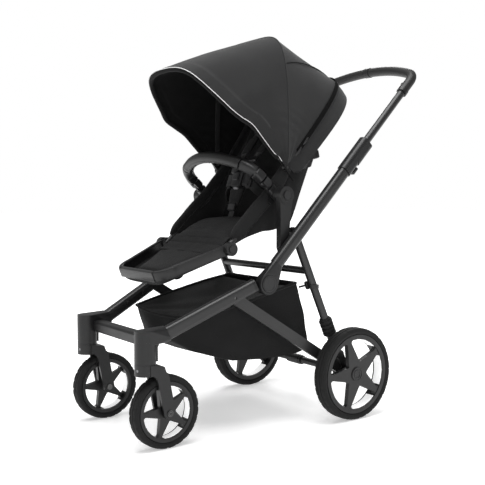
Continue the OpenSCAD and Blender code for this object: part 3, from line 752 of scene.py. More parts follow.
def canopy_trim():
    piping = sweep(RIM_LINE[3:-3] + (0, -0.8, 0.3), circle(1.0, 10))
    make("canopy_rim_piping", piping, (PIPING, "canopy_fabric"), "canopy_visor")
    rim_sleeve = sweep(inwards(RIM_LINE, 7.5)[9:-9], circle(6.5, 12))
    make("canopy_rim_sleeve", rim_sleeve, (LINING, "canopy_fabric"), "canopy_visor")
    welt = sweep(inwards(MID_LINE[5:-5], 0.6), circle(2.2, 10))
    make("canopy_mid_welt", welt, "canopy_fabric", "canopy_middle")
    mid_sleeve = sweep_flat_on_canopy(inwards(MID_LINE, 8.5)[9:-9], 17, 9)
    make("canopy_mid_sleeve", mid_sleeve, (SLEEVE, "canopy_fabric"), "canopy_middle")
    rear_sleeve = sweep(inwards(REAR_LINE, 8.5)[10:-10], circle(6, 12))
    make("canopy_rear_sleeve", rear_sleeve, (LINING, "canopy_fabric"), "seat")
    # The zip stands proud of the cloth, with a light edge on its rear side
    zip_line = REAR_LINE[7:-7]
    tape = sweep_flat_on_canopy(inwards(zip_line, -2.4), 15, 3.0)
    make("canopy_zip_tape", tape, (ZIP, "canopy_fabric"), "seat")
    lean = math.radians(REAR_LEAN)
    edge = inwards(zip_line, -3.2) + 8 * np.array([0, math.sin(lean), -math.cos(lean)])
    make("canopy_zip_edge", sweep(edge, circle(1.3, 8)), (SLEEVE, "canopy_fabric"), "seat")
    teeth = inwards(zip_line, -3.6)
    make("canopy_zip_teeth", sweep(teeth, circle(1.2, 8)), (ZIP, "canopy_fabric"), "seat")
    pulls = []
    for s in SIDES:
        for at in (8, 12):
            p = inwards(REAR_LINE, -7)[at] * (s, 1, 1)
            q = inwards(REAR_LINE, -7)[at - 3] * (s, 1, 1)
            pulls.append(sweep(evenly([p, (p + q) / 2 + (s * 2, 0, 0), q], 8), rounded(6, 2.2, 1), (1, 0, 0),
                               soft_ends(8)))
    make("canopy_zip_pulls", pulls, ("button_plastic", "canopy_fabric"), "seat")
    tails = [sweep([(s * 185, -20, 762), (s * 186.5, -6, 744), (s * 186.5, 11, 725)], circle(1.6, 8))
             for s in SIDES]
    make("canopy_rim_tails", tails, (ZIP, "canopy_fabric"), "seat")
    vent = []
    for s in SIDES:
        line = []
        for k in np.linspace(0, 1, 24):
            a = np.array(bow_point(MID_BOW, VENT_FROM + (VENT_TO - VENT_FROM) * k))
            b = np.array(bow_point(REAR_BOW, VENT_FROM + (VENT_TO - VENT_FROM) * k))
            line.append((a + (b - a) * (0.02 + 0.95 * k)) * (s, 1, 1))
        vent.append(sweep(inwards(np.array(line), 0.5), circle(1.7, 8)))
    piece = make("canopy_vent_seam", vent, (LINING, "canopy_fabric"))
    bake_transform(piece)
    weights(piece, share_between(REAR_LINE, MID_LINE))


def canopy_lugs():
    """The small clips on the seat back's rear edge, that the canopy's back hem buttons onto."""
    lugs = [block((s * 166, 116, 808), 12, 24, 26, 3, 14) for s in SIDES]
    make("canopy_lugs", lugs, "moulded_plastic", "seat")


def sweep_flat_on_canopy(line, width, thick):
    """A flat tape that lies on the canopy along a line, from one side of it to the other."""
    ahead = ahead_along(line)
    out = line - np.array([0, *CANOPY_PIVOT])
    out /= np.linalg.norm(out, axis=1)[:, None]
    side = np.cross(ahead, out)
    side /= np.linalg.norm(side, axis=1)[:, None]
    up = np.cross(side, ahead)
    return ribbon(line, side, up, rounded(width, thick, thick * 0.45, 3))


canopy_panels()
canopy_trim()
canopy_lugs()


# ---------- seat ----------

SEAT_HALF = 150


def seat_base_pad():
    top_side = curve_through([(-203, 540), (-202, 552), (-180, 569), (-140, 591), (-107, 603), (-60, 604),
                              (-20, 603), (20, 606)])
    low_side = curve_through([(-203, 540), (-192, 536), (-178, 539), (-148, 559), (-103, 572), (-47, 578),
                              (0, 588), (20, 606)])
    rows, cols = 44, 61
    top_side, low_side = evenly(top_side, rows), evenly(low_side, rows)
    v = np.linspace(-1, 1, rows)[:, None]
    u = np.sin(np.linspace(-1, 1, cols) * math.pi / 2)[None]
    full = np.sqrt(np.clip(1 - np.abs(u) ** 10, 0, 1))
    middle = (top_side + low_side) / 2
    top = np.zeros((rows, cols, 3))
    low = np.zeros((rows, cols, 3))
    for grid, side in ((top, top_side), (low, low_side)):
        grid[..., 0] = SEAT_HALF * u * np.ones_like(v)
        grid[..., 1] = middle[:, :1] + (side - middle)[:, :1] * full
        grid[..., 2] = middle[:, 1:] + (side - middle)[:, 1:] * full
    seams = groove(top[..., 1] + 168, 4)
    top[..., 2] += (11 * (1 - u ** 2) - 3.2 * seams + ripple(top, 45, 1.6)) * full * (1 - v ** 4)
    piece = make("seat_base_cushion", pillow(top, low), "seat_fabric", sharp=70)
    swell(piece, lambda p: (np.abs(p[:, 0]) > SEAT_HALF - 2) | (np.abs(p[:, 1] + 168) < 3)
          | (p[:, 2] < 585 - 0.2 * np.abs(p[:, 1])), 2.5, 5)
    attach(piece, "seat")
    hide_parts("seat_base")


def seat_back_pad():
    rows, cols = 72, 57
    v = np.linspace(-1, 1, rows)[:, None]
    u = np.sin(np.linspace(-1, 1, cols) * math.pi / 2)[None]
    length = np.linalg.norm(BACK_HIGH - BACK_LOW)
    along = length * (-0.05 + 1.03 * (v + 1) / 2)
    half = 149 - 14 * np.clip((v - 0.55) / 0.45, 0, 1) ** 2
    wing = 20 * np.abs(u) ** 4 * (1 - 0.5 * np.clip((v - 0.4) / 0.6, 0, 1))
    full = fullness(u, v, 10)
    seams = groove(u * 150 - 92, 4) + groove(u * 150 + 92, 4)
    seams = seams + groove(along - 150, 4) * (np.abs(u) < 0.62) + groove(along - 270, 4) * (np.abs(u) < 0.62)
    front = (BACK_THICK / 2 - 3 + 3.5 * (1 - u ** 2)) * full - 3.5 * seams * full
    grids = []
    for lift in (front, -(BACK_THICK / 2 - 2) * full):
        depth = BACK_THICK / 2 + wing + lift
        grid = np.zeros((rows, cols, 3))
        grid[..., 0] = half * u
        grid[..., 1] = BACK_LOW[0] + BACK_DIR[0] * along + BACK_IN[0] * depth
        grid[..., 2] = BACK_LOW[1] + BACK_DIR[1] * along + BACK_IN[1] * depth
        grids.append(grid)
    uneven = (ripple(grids[0], 60, 2.2) * full)[..., None]
    grids[0] += uneven * np.array([0, BACK_IN[0], BACK_IN[1]])
    piece = make("seat_back_cushion", pillow(*grids), "seat_fabric", sharp=70)
    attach(piece, "seat")
    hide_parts("seat_liner")


def seat_side_shells():
    front = curve_through([(-200, 551), (-150, 602), (-70, 678), (6, 765), (70, 860), (130, 949),
                           (150, 972)], 8)
    rear = curve_through([(-192, 535), (-171, 545), (-142, 558), (-113, 567), (-79, 576), (-47, 578),
                          (-10, 587), (26, 602), (64, 690), (107, 793), (148, 893), (174, 981)], 6)
    rows = 60
    front, rear = evenly(front, rows), evenly(rear, rows)
    s = np.linspace(0, 1, 16)[None]
    for sign, side in EACH_SIDE:
        grid = np.zeros((rows, 16, 3))
        grid[..., 1] = front[:, :1] + (rear - front)[:, :1] * s
        grid[..., 2] = front[:, 1:] + (rear - front)[:, 1:] * s
        belly = np.sin(s * math.pi) * np.sin(np.linspace(0, 1, rows) * math.pi)[:, None]
        grid[..., 0] = 157 - 3 * s + 6 * belly
        grid[..., 0] += ripple(grid, 42, 3.0, 3.0) * np.sin(s * math.pi)
        grid[..., 0] *= sign
        piece = cloth_sheet("seat_shell_" + side, [grid], 3, "seat_fabric", inwards=False)
        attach(piece, "seat")


def seat_sleeves():
    """The padded sleeve round each side tube, from the knee up to the canopy, with its seam."""
    count = 44
    points = [(169, -197, 553), (168, -146, 604), (167.5, -105, 645), (167, -75, 671), (166, -36, 714),
              (164, 0, 762), (161.5, 66, 860), (160, 124, 948)]
    tube = evenly(curve_through(points, 6), count)
    for sign, side in EACH_SIDE:
        line = tube * (sign, 1, 1)
        widths = np.ones((count, 2))
        widths[:, 0] = 1 - 0.35 * np.clip((np.arange(count) - 20) / 8, 0, 1)
        widths *= soft_ends(count, 3, 0.5)
        body = sweep(line, rounded(44, 20, 9, 6), (1, 0, 0), widths)
        piece = make("seat_sleeve_" + side, body, "seat_fabric", sharp=70)
        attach(piece, "seat")
        ahead = ahead_along(line)
        seam = line + np.cross(ahead, (1, 0, 0)) * 17 + (sign * 9.2, 0, 0)
        make("seat_sleeve_seam_" + side, sweep(seam[3:19], circle(0.9, 6)), (LINING, "seat_fabric"), "seat")


def knee_flap():
    """The cloth that carries on from the seat's front edge onto the calf pad, over the knee hinge."""
    start = [(-190, 561), (-203, 551), (-214, 541), (-228, 532)]
    end = on_leg_rest([(0, -26, 0.5), (0, -40, 0.2)])[:, 1:]
    rows = 36
    line = evenly(curve_through([*start, *end], 6), rows)
    u = np.linspace(-1, 1, 41)[None]
    grid = np.zeros((rows, 41, 3))
    grid[..., 0] = (148 - 2 * np.linspace(0, 1, rows)[:, None]) * u
    grid[..., 1] = line[:, :1] - 0 * u
    grid[..., 2] = line[:, 1:] + 2.0 * (1 - u ** 2) - 1.5
    grid[..., 2] += ripple(grid, 40, 1.4, 7.0) - 3.0 * groove(grid[..., 1] + 215, 3)
    piece = cloth_sheet("knee_flap", [grid], 4, "seat_fabric", inwards=False)
    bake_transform(piece)


def leg_rest_half(y, inset):
    """Half the leg rest's width inside its rim, at y in its own frame."""
    straight = 184 + (y + 22) * 40 / 132
    corner = 86 + np.sqrt(np.clip(58 ** 2 - np.minimum(0, y + 154) ** 2, 0, None))
    return np.where(y > -154, straight, corner) - inset


def leg_rest_rim():
    """The rim's lipped tray edge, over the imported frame's plain one."""
    bend, bend_r, bend_x = -154, 51.5, 86
    round_the_corner = bend - bend_r * np.sin(np.linspace(0.1, 1, 12) * math.pi / 2)
    y = np.concatenate([np.linspace(14, bend, 12), round_the_corner])

    def half_at(v):
        if v > bend:
            return float(leg_rest_half(min(v, -22.0), 6.5))
        return bend_x + math.sqrt(max(0, bend_r ** 2 - (v - bend) ** 2))

    half = np.array([half_at(v) for v in y])
    one = np.stack([half, y, np.full(len(y), -1.0)], -1)
    line = np.vstack([one, one[::-1] * (-1, 1, 1)])
    line = curve_through(line, 3)
    profile = np.array([(7.5, 14), (6.6, 15.6), (4.6, 16), (-3.6, 16), (-5.6, 15), (-6.8, 12.6), (-6.8, -11),
                        (-5.4, -13.6), (4.2, -13.6), (6, -12), (6.6, 8), (7.5, 10)]) * (1, -1)
    verts, faces = sweep(line, profile, (0, 0, 1))
    piece = make("leg_rest_tray_edge", (on_leg_rest(verts), faces), "moulded_plastic",
                 "leg_rest", sharp=34)
    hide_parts("leg_rest_frame")


def calf_cushion():
    rows, cols = 34, 51
    v = np.linspace(-1, 1, rows)[:, None]
    u = np.sin(np.linspace(-1, 1, cols) * math.pi / 2)[None]
    back, tip = -24, -168
    y = back + (tip - back) * (v + 1) / 2
    half = np.interp(y, [-168, -106, -50, -24], [74, 98, 140, 152])
    full = fullness(u, v, 9)
    grids = []
    for lift in (7.5 + 2.5 * (1 - u ** 2), -6):
        local = np.zeros((rows, cols, 3))
        local[..., 0] = half * u
        local[..., 1] = y
        local[..., 2] = -8 + lift * full
        grids.append(on_leg_rest(local))
    grids[0][..., 2] += (ripple(grids[0], 50, 1.8, 5.0) - 2.0 * groove(u * 150 - 118, 3)
                         - 2.0 * groove(u * 150 + 118, 3)) * full
    piece = make("calf_cushion", pillow(*grids), "seat_fabric", sharp=70)
    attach(piece, "leg_rest")
    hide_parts("calf_pad")


def calf_sling():
    """The cloth tray under the calf pad, laced to the underside of the leg rest's rim."""
    rows, cols = 34, 49
    v = np.linspace(0, 1, rows)[:, None]
    u = np.sin(np.linspace(-1, 1, cols) * math.pi / 2)[None]
    local = np.zeros((rows, cols, 3))
    local[..., 1] = -14 - 187 * np.sin(v * math.pi / 2) * np.ones_like(u)
    local[..., 0] = leg_rest_half(np.minimum(local[..., 1], -22.0), 11) * u
    depth = np.sqrt(np.clip(1 - np.abs(u) ** 5, 0, 1)) * np.clip(1 - v ** 9, 0, 1) ** 0.5
    local[..., 2] = -13 - (12 + 10 * v) * depth
    piece = cloth_sheet("calf_sling", [on_leg_rest(local)], 2.5, "seat_fabric", inwards=False)
    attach(piece, "leg_rest")


seat_base_pad()
seat_back_pad()
seat_side_shells()
seat_sleeves()
knee_flap()
leg_rest_rim()
calf_cushion()
calf_sling()


# ---------- harness ----------

BUCKLE = (0, -57, 728)


def lie_across(line, across):
    """The directions of a strap's width and thickness along the line."""
    ahead = ahead_along(line)
    side = np.array(across, float) - ahead * (ahead @ np.array(across, float))[:, None]
    side /= np.linalg.norm(side, axis=1)[:, None]
    return side, np.cross(ahead, side)


def strap(points, width, thick=2.2, across=(1, 0, 0), count=24):
    """Flat webbing through the points. across is the direction of its width."""
    line = evenly(curve_through(points, 8), count)
    side, up = lie_across(line, across)
    return ribbon(line, side, up, rounded(width, thick, thick * 0.45, 3))


def strap_pad(points, half_low, half_high, thick, across=(1, 0, 0)):
    """A soft pad round a strap, from half_low to half_high wide."""
    count = 26
    line = evenly(curve_through(points, 8), count)
    side, up = lie_across(line, across)
    v = np.linspace(-1, 1, count)[:, None]
    u = np.sin(np.linspace(-1, 1, 15) * math.pi / 2)[None]
    half = (half_low + (half_high - half_low) * (v + 1) / 2) * (1 - 0.1 * np.abs(v) ** 12)
    full = fullness(u, v, 6)
    edge = 1 - 0.3 * groove(np.abs(u) - 0.72, 0.09)
    grids = []
    for sign in SIDES:
        lift = sign * thick / 2 * full * edge
        grids.append(line[:, None] + (half * u)[..., None] * side[:, None] + lift[..., None] * up[:, None])
    return pillow(*grids)


def harness():
    plastic = ("buckle_plastic", "webbing")
    x, y, z = BUCKLE
    lean = -18
    shells = [block((x, y, z + 3), 44, 18, 52, 4, lean), block((x, y - 8, z + 14), 30, 8, 26, 2.5, lean)]
    for s in SIDES:
        shells.append(block((x + s * 40, y + 5, z + 2), 34, 13, 40, 4, lean))
        shells.append(block((x + s * 52, y + 4, z - 10), 22, 11, 30, 4, lean))
        shells.append(block((x + s * 26, y + 7, z + 32), 30, 8, 20, 3, lean))
    make("harness_buckle", shells, plastic, "seat")
    release = block((x, y - 7.5, z - 21), 19, 9, 13, 2, lean)
    make("harness_buckle_button", release, ("buckle_button", "webbing"), "seat")
    crotch = [(0, -96, 606), (0, -84, 622), (0, -78, 645)]
    make("harness_crotch_strap", strap([*crotch, (0, -68, 670), (0, -58, 702)], 26), "webbing", "seat")
    piece = make("harness_crotch_pad", strap_pad([(0, -76, 652), (0, -68, 672), (0, -58, 704)], 24, 36, 14),
                 "seat_fabric", sharp=70)
    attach(piece, "seat")
    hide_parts("harness")
    make("harness_crotch_slide", block((0, -81, 646), 34, 10, 24, 3, -14), plastic, "seat")
    make("harness_base_slot", block((30, -22, 607), 76, 7, 5, 2, 0), "webbing", "seat")
    straps, slides, laps = [], [], []
    for s in SIDES:
        line = [(s * 22, y + 8, z + 28), (s * 30, -32, 782), (s * 40, 6, 826), (s * 48, 44, 868),
                (s * 55, 84, 904), (s * 56, 112, 918)]
        straps.append(strap(line, 25, across=(1, 0, 0)))
        lap = [(s * 50, y + 6, z - 4), (s * 76, -46, 702), (s * 104, -20, 670), (s * 128, 4, 640)]
        laps.append(strap(lap, 25, across=(0, 0.5, 1)))
        slides.append(block((s * 52, 66, 889), 38, 9, 22, 2.5, -46))
        slides.append(block((s * 33, -20, 795), 34, 9, 20, 2.5, -44))
        piece = make("harness_shoulder_pad_" + ("left" if s > 0 else "right"),
                     strap_pad([(s * 37, -4, 813), (s * 43, 22, 842), (s * 48, 48, 870)], 21, 21, 10),
                     "seat_fabric", sharp=70)
        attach(piece, "seat")
    make("harness_shoulder_straps", straps, "webbing", "seat")
    make("harness_lap_straps", laps, "webbing", "seat")
    make("harness_slides", slides, plastic, "seat")


harness()


# ---------- bumper bar and handle grip ----------

def bumper():
    line = evenly(on_bumper(arch_line(BUMPER_HALF, 70, 300, 164, 62.3)), 121)
    lower, upper = 1, 24
    piece = make("bumper_leather", sweep(line[upper:-upper], circle(BUMPER_R + 0.3, 20), (0, 1, 0)),
                 "grip_leather", "bumper")
    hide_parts("bumper_bar")
    seam = line[upper + 1:-upper - 1]
    down = np.array([0, -math.sin(math.radians(BUMPER_ANGLE)), math.cos(math.radians(BUMPER_ANGLE))])
    make("bumper_leather_seam", sweep(seam + down * (BUMPER_R + 0.1), circle(0.9, 6), (0, 1, 0)),
         "grip_leather", "bumper")
    shoulders, cores = [], []
    for part in (line, line[::-1]):
        fine = evenly(part[lower:upper + 1], 60)
        shoulders.append(sweep(fine[:18], rounded(29, 31, 7, 6), (0, 1, 0.001), soft_ends(18, 1, 0.93)))
        shoulders.append(sweep(fine[19:50], rounded(34, 33, 11, 6), (0, 1, 0.001), soft_ends(31, 1, 0.93)))
        shoulders.append(sweep(fine[51:], circle(BUMPER_R + 0.9, 20), (0, 1, 0.001)))
        cores.append(sweep(fine, circle(13, 16), (0, 1, 0)))
    make("bumper_shoulders", shoulders, "moulded_plastic", "bumper")
    make("bumper_cores", cores, ("inner_tube", "moulded_plastic"), "bumper")


def handle_grip():
    line = evenly(on_bar(arch_line(BAR_X, 48, 549, HANDLE_TOP, 806)), 160)
    middle = len(line) // 2
    halves = [line[:middle - 2], line[middle + 3:]]
    parts = [sweep(half, circle(GRIP_R, 20), (0, 0.72, -0.69)) for half in halves]
    piece = make("handle_leather", parts, "grip_leather", "handle")
    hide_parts("handle_grip")
    down = np.array([0, math.sin(math.radians(BAR_ANGLE)), -math.cos(math.radians(BAR_ANGLE))])
    seams = [sweep(half[1:-1] + down * (GRIP_R + 0.1), circle(0.9, 6), (0, 0.72, -0.69)) for half in halves]
    make("handle_leather_seams", seams, "grip_leather", "handle")
    bezels = []
    for s in SIDES:
        at = on_bar([(s * 232.6, 826, 0)])[0]
        ring = lathe([(-1.4, 8.7), (1.6, 8.7), (2.2, 9.6), (1.6, 11.2), (-1.4, 11.2)], (0, 0, 0), 40)
        bezels.append((ring[0] + at, ring[1]))
    make("handle_button_bezels", bezels, "button_plastic", "handle")


bumper()
handle_grip()


# ---------- basket ----------

TOP_EDGE = np.array([(-352, 339), (-250, 358), (-162, 376), (-60, 400), (0, 412), (46, 421)], float)
LOW_HALF = np.array([(-352, 96), (-220, 150), (-100, 176), (98, 184)], float)
TOP_HALF = np.array([(-352, 172), (-200, 190), (46, 190)], float)
FLOOR_EDGE = np.array([(-352, 273), (-300, 237), (-188, 204), (-60, 201), (40, 203), (98, 216)], float)
CORNER = 0.3


def in_plan(u, v):
    """A square of (u, v), from -1 to 1, with its corners rounded off."""
    return u * np.sqrt(1 - CORNER * v ** 2 / 2), v * np.sqrt(1 - CORNER * u ** 2 / 2)


def basket_ring_point(u, v, down):
    """A point of the basket's wall: down is 0 at the upper edge and 1 at the floor."""
    a, b = in_plan(u, v)
    y_top = -149.5 + 197 * b
    y_low = -124 + 228 * b
    z_top = np.interp(y_top, TOP_EDGE[:, 0], TOP_EDGE[:, 1]) - 7 * (1 - np.abs(a) ** 2) * (np.abs(b) < 2)
    z_low = np.interp(y_low, FLOOR_EDGE[:, 0], FLOOR_EDGE[:, 1])
    x_top = a * np.interp(y_top, TOP_HALF[:, 0], TOP_HALF[:, 1])
    x_low = a * np.interp(y_low, LOW_HALF[:, 0], LOW_HALF[:, 1])
    belly = np.sin(down * math.pi)
    x = x_top + (x_low - x_top) * down ** (1 - 0.4 * np.maximum(0, -b)) + a * 5 * belly
    y = y_top + (y_low - y_top) * down + b * 5 * belly
    return np.stack([x, y, z_top + (z_low - z_top) * down ** 1.05], -1)


def basket():
    n = 26
    edge = np.linspace(-1, 1, n + 1)
    u = np.concatenate([edge[:-1], np.ones(n), edge[:0:-1], -np.ones(n)])
    v = np.concatenate([-np.ones(n), edge[:-1], np.ones(n), edge[:0:-1]])
    down = np.linspace(0, 1, 20)[:, None] * np.ones(len(u))
    wall = basket_ring_point(u[None] * np.ones_like(down), v[None] * np.ones_like(down), down)
    out = wall.copy()
    out[..., 1] += 140
    out[..., 2] = 0
    out /= np.maximum(np.linalg.norm(out, axis=-1, keepdims=True), 1e-9)
    wall += out * (ripple(wall, 70, 7, 2.0) * np.sin(down * math.pi))[..., None]
    uu, vv = np.meshgrid(edge, edge)
    floor = basket_ring_point(uu, vv, np.ones_like(uu))
    sag = (1 - uu ** 2) * (1 - vv ** 2)
    floor[..., 2] -= 3 * sag
    floor[..., 2] += ripple(floor, 60, 4, 9.0) * sag
    piece = cloth_sheet("basket_cloth", [wall, floor[::-1]], 2.4, "basket_fabric",
                        inwards=False, wraps=(0,))
    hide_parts("basket")
    basket_follows(piece)
    ring = np.array([basket_ring_point(np.array(a), np.array(b), np.array(0.0)) for a, b in zip(u, v)])
    hem = make("basket_hem", closed_tube(ring, circle(4.5, 10)), "basket_fabric")
    basket_follows(hem)
    seams = []
    for s in SIDES:
        line = []
        for k in np.linspace(0.02, 0.99, 24):
            at = basket_ring_point(np.array(s * 1.0), np.array(-0.75 + 0.5 * k ** 1.6), np.array(k))
            line.append(at + (s * 1.5, 0, 0))
        seams.append(sweep(np.array(line), circle(1.5, 8)))
    piece = make("basket_seams", seams, "basket_fabric")
    basket_follows(piece)
    basket_cover(n)
    for sign, side in EACH_SIDE:
        leg = np.array([219.7 * sign, 64.3, 409.1])
        corner = np.array([sign * 183, 38, 405])
        hang = curve_through([corner, (corner + leg) / 2 + (0, 6, 5), leg + (-sign * 15, -6, 2)], 8)
        loop = sweep(evenly(hang, 14), circle(3.2, 8))
        toggle = block(tuple((corner + leg) / 2 + (0, 4, 4)), 13, 12, 26, 3, 20)
        make("basket_toggle_" + side, [loop, toggle], ("button_plastic", "basket_fabric"), "rear_legs")


def basket_cover(n):
    """The cover over the load, sewn to the front and the sides, with an open slot along the back."""
    u, v = np.meshgrid(np.linspace(-0.985, 0.985, n + 1), np.linspace(-0.985, 0.86, 2 * n + 1))
    rows = basket_ring_point(u, v, np.zeros_like(u))
    sag = (1 - u ** 2) * (1 - v ** 2)
    rows[..., 2] -= 2 + 16 * sag
    spread = np.arctan2(1 - np.abs(u), v + 1.25)
    rows[..., 2] += 3.2 * np.sin(spread * 13) * sag ** 0.5 * np.exp(-((v + 0.9) / 0.8) ** 2)
    rows[..., 2] += ripple(rows, 90, 3, 5.0) * sag
    piece = cloth_sheet("basket_cover", [rows], 1.6, "basket_fabric", inwards=False)
    basket_follows(piece)


def closed_tube(line, outline):
    n, m = len(line), len(outline)
    ahead = np.roll(line, -1, axis=0) - np.roll(line, 1, axis=0)
    ahead /= np.linalg.norm(ahead, axis=1)[:, None]
    side = np.cross(ahead, (0, 0, 1))
    side /= np.linalg.norm(side, axis=1)[:, None]
    up = np.cross(side, ahead)
    rings = line[:, None] + outline[None, :, :1] * side[:, None] + outline[None, :, 1:] * up[:, None]
    faces = [(i * m + k, i * m + (k + 1) % m, ((i + 1) % n) * m + (k + 1) % m, ((i + 1) % n) * m + k)
             for i in range(n) for k in range(m)]
    return rings.reshape(-1, 3), faces


def basket_follows(piece):
    """Bakes the piece's place into its mesh, where it stays; it follows no body."""
    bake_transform(piece)


basket()


# ---------- wheels ----------

def tyre(name, at, r, inner, width, body, cad):
    half = width / 2
    tread = [(half * 0.55, r), (half * 0.8, r - 1.2), (half * 0.96, r - 5), (half, r - 10),
             (half * 0.9, inner + 3), (half * 0.72, inner), (-half * 0.72, inner), (-half * 0.9, inner + 3),
             (-half, r - 10), (-half * 0.96, r - 5), (-half * 0.8, r - 1.2), (-half * 0.55, r)]
    middle = [(-half * 0.36, r + 0.1), (-half * 0.33, r - 1.4), (-half * 0.22, r - 1.4),
              (-half * 0.19, r + 0.2), (half * 0.19, r + 0.2), (half * 0.22, r - 1.4),
              (half * 0.33, r - 1.4), (half * 0.36, r + 0.1)]
    blocks = 30 if r > 120 else 24

    def notch(x, radius, angle):
        if radius > r - 6 and abs(x) > half * 0.5:
            turn = (angle * blocks / (2 * math.pi)) % 1
            return radius - (1.5 if turn < 0.16 else 0)
        return radius

    piece = make(name, lathe(tread + middle, at, 180, notch), "tyre_rubber", body, sharp=28)
    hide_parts(cad)


def strip_arcs(at, sign, radius, x0, x1, reach):
    """The bright strips on the inside of a rim, one in each opening between the spokes."""
    parts = []
    for k in range(5):
        centre = math.radians(36 + 180 + 72 * k)
        count = 15
        ring = []
        for a in np.linspace(-reach, reach, count) + centre:
            for x, r in ((x0, radius), (x1, radius), (x1, radius - 0.8), (x0, radius - 0.8)):
                ring.append((at[0] + sign * x, at[1] + r * math.cos(a), at[2] + r * math.sin(a)))
        faces = grid_faces(count, 4, wrap=True) + [(3, 2, 1, 0), tuple((count - 1) * 4 + j for j in range(4))]
        parts.append((np.array(ring), faces))
    return parts


def ring_on(at, sign, x, radius, half_width, height):
    """A slim raised ring about a wheel's or hinge's axis."""
    outline = [(sign * (x - 1), radius - half_width), (sign * (x + height * 0.6), radius - half_width),
               (sign * (x + height), radius), (sign * (x + height * 0.6), radius + half_width),
               (sign * (x - 1), radius + half_width)]
    return lathe(outline, at, 48)


def wheels():
    for sign, side in EACH_SIDE:
        rear = (sign * REAR_WHEEL[0], *REAR_WHEEL[1:])
        front = (sign * FRONT_WHEEL[0], *FRONT_WHEEL[1:])
        tyre("rear_tyre_tread_" + side, rear, 140, 120, 47, "rear_wheel_" + side, "rear_tyre_" + side)
        tyre("front_tyre_tread_" + side, front, 100, 82, 40, "front_wheel_" + side, "front_tyre_" + side)
        # The rims' pale strips, with a painted glow from their material's emission
        rear_strips = strip_arcs(rear, sign, 106.3, -14, 17.5, math.radians(25))
        make("rear_rim_strips_" + side, rear_strips, (PALE_STRIP_PAINTED_GLOW, "rim_plastic"), "rear_wheel_" + side)
        front_strips = strip_arcs(front, sign, 71.3, -10, 14, math.radians(24))
        make("front_rim_strips_" + side, front_strips, (PALE_STRIP_PAINTED_GLOW, "rim_plastic"), "front_wheel_" + side)
        cap = (sign * 0.0, front[1], front[2])
        make("front_axle_cap_" + side, [ring_on(cap, sign, abs(front[0]) + 34, 6.2, 1.0, 0.8),
                                        ring_on(cap, sign, abs(front[0]) + 34, 2.2, 1.3, 0.8)],
             ("button_plastic", "steel"), "caster_" + side)
        rings = [ring_on(rear, sign, 20.5, radius, 1.2, 1.2) for radius in (12, 19)]
        make("rear_hub_rings_" + side, rings,
             ("button_plastic", "rim_plastic"), "rear_wheel_" + side)


def small_rings():
    for sign, side in EACH_SIDE:
        hinge = (0, *MAIN_HINGE)
        rings = [ring_on(hinge, sign, 267, 19.5, 0.9, 0.9), ring_on(hinge, sign, 265, 27.6, 1.0, 0.8)]
        make("hub_cap_ring_" + side, rings,
             "button_plastic", "push_frame")
        pivot = (0, *SEAT_PIVOT)
        make("seat_hub_ring_" + side, ring_on(pivot, sign, 234, 17, 0.9, 0.7), "button_plastic", "push_frame")
        stem = (sign * FRONT_WHEEL[0], CASTER_Y)
        head = [(0, 0.4), (1.6, 0.4), (1.9, 2.6), (1.2, 3.6), (-1, 3.6), (-1, 0.4)]
        make("swivel_screw_" + side, lathe(head, (0, 0, 0), 20), ("buckle_button", "steel"))
        dot = bpy.data.objects["swivel_screw_" + side]
        dot.data.transform(Matrix.Translation(((stem[0] + 8) * MM, (stem[1] - 27) * MM, 221 * MM))
                           @ Matrix.Rotation(math.radians(-73), 4, "Z"))
        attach(dot, "caster_" + side)
        knee = (0, *KNEE_PIVOT)
        make("knee_ring_" + side, ring_on(knee, sign, 200, 14, 0.8, 0.7), "button_plastic", "leg_rest")


wheels()
small_rings()


# ---------- floor, light and camera ----------

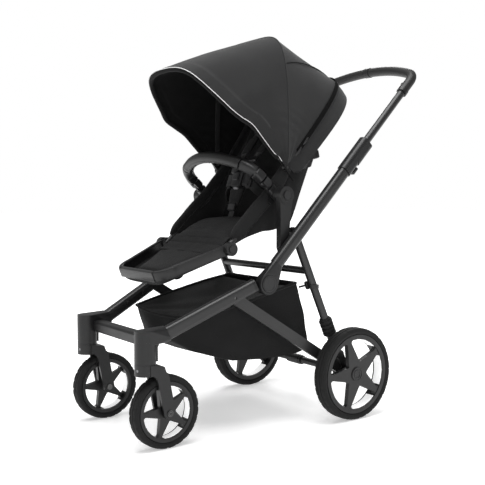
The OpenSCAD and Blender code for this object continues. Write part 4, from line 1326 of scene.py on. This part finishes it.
def studio():
    floor_mesh = bpy.data.meshes.new("floor")
    reach = 30.0
    corners = [(-reach, -reach, 0), (reach, -reach, 0), (reach, reach, 0), (-reach, reach, 0)]
    floor_mesh.from_pydata(corners, [], [(0, 1, 2, 3)])
    floor = bpy.data.objects.new("floor", floor_mesh)
    bpy.context.scene.collection.objects.link(floor)
    pale = Nodes("pale_floor", (0.9, 0.9, 0.9), 0.9)
    pale.shader.inputs["Emission Color"].default_value = (1, 1, 1, 1)
    pale.shader.inputs["Specular IOR Level"].default_value = 0.0
    pale.vary_color(pale.noise(3), 0.995, 1.0)
    # The floor glows more away from the stroller, so that only the shadows near it are grey
    away = pale.add("ShaderNodeVectorMath", operation="LENGTH")
    pale.link(pale.place, away.inputs[0])
    glow = pale.add("ShaderNodeMapRange")
    for key, value in (("From Min", 0.5), ("From Max", 2.2), ("To Min", 0.42), ("To Max", 1.0)):
        glow.inputs[key].default_value = value
    pale.link(away.outputs["Value"], glow.inputs["Value"])
    pale.link(glow.outputs["Result"], pale.shader.inputs["Emission Strength"])
    floor_mesh.materials.append(pale.material)

    world = bpy.data.worlds.new("studio")
    bpy.context.scene.world = world
    world.use_nodes = True
    tree = world.node_tree
    fill = tree.nodes["Background"]
    fill.inputs["Color"].default_value = (1, 1, 1, 1)
    fill.inputs["Strength"].default_value = 0.4
    white = tree.nodes.new("ShaderNodeBackground")
    white.inputs["Color"].default_value = (1, 1, 1, 1)
    white.inputs["Strength"].default_value = 1.0
    path = tree.nodes.new("ShaderNodeLightPath")
    mix = tree.nodes.new("ShaderNodeMixShader")
    tree.links.new(path.outputs["Is Camera Ray"], mix.inputs[0])
    tree.links.new(fill.outputs[0], mix.inputs[1])
    tree.links.new(white.outputs[0], mix.inputs[2])
    tree.links.new(mix.outputs[0], tree.nodes["World Output"].inputs["Surface"])

    lamp("overhead", (0.3, -0.4, 3.2), (0, 0, 0.5), 2.6, 105)
    lamp("side_window", (3.4, -1.0, 1.3), (0, -0.1, 0.5), 1.6, 9)
    lamp("back_rim", (-2.4, 2.6, 2.4), (0, 0, 0.8), 1.6, 45)


def lamp(name, place, aim, size, power):
    data = bpy.data.lights.new(name, "AREA")
    data.shape = "DISK"
    data.size = size
    data.energy = power
    obj = bpy.data.objects.new(name, data)
    bpy.context.scene.collection.objects.link(obj)
    obj.location = place
    obj.rotation_euler = (Vector(aim) - Vector(place)).to_track_quat("-Z", "Y").to_euler()


def camera():
    data = bpy.data.cameras.new("camera")
    data.lens = 58.07
    data.sensor_width = 36
    obj = bpy.data.objects.new("camera", data)
    bpy.context.scene.collection.objects.link(obj)
    obj.location = (1.9985, -1.4735, 0.6761)
    obj.rotation_euler = (math.radians(90 - 3.3024), 0, math.radians(54.3542))
    bpy.context.scene.camera = obj


studio()
camera()
bpy.context.scene.view_settings.view_transform = "Standard"
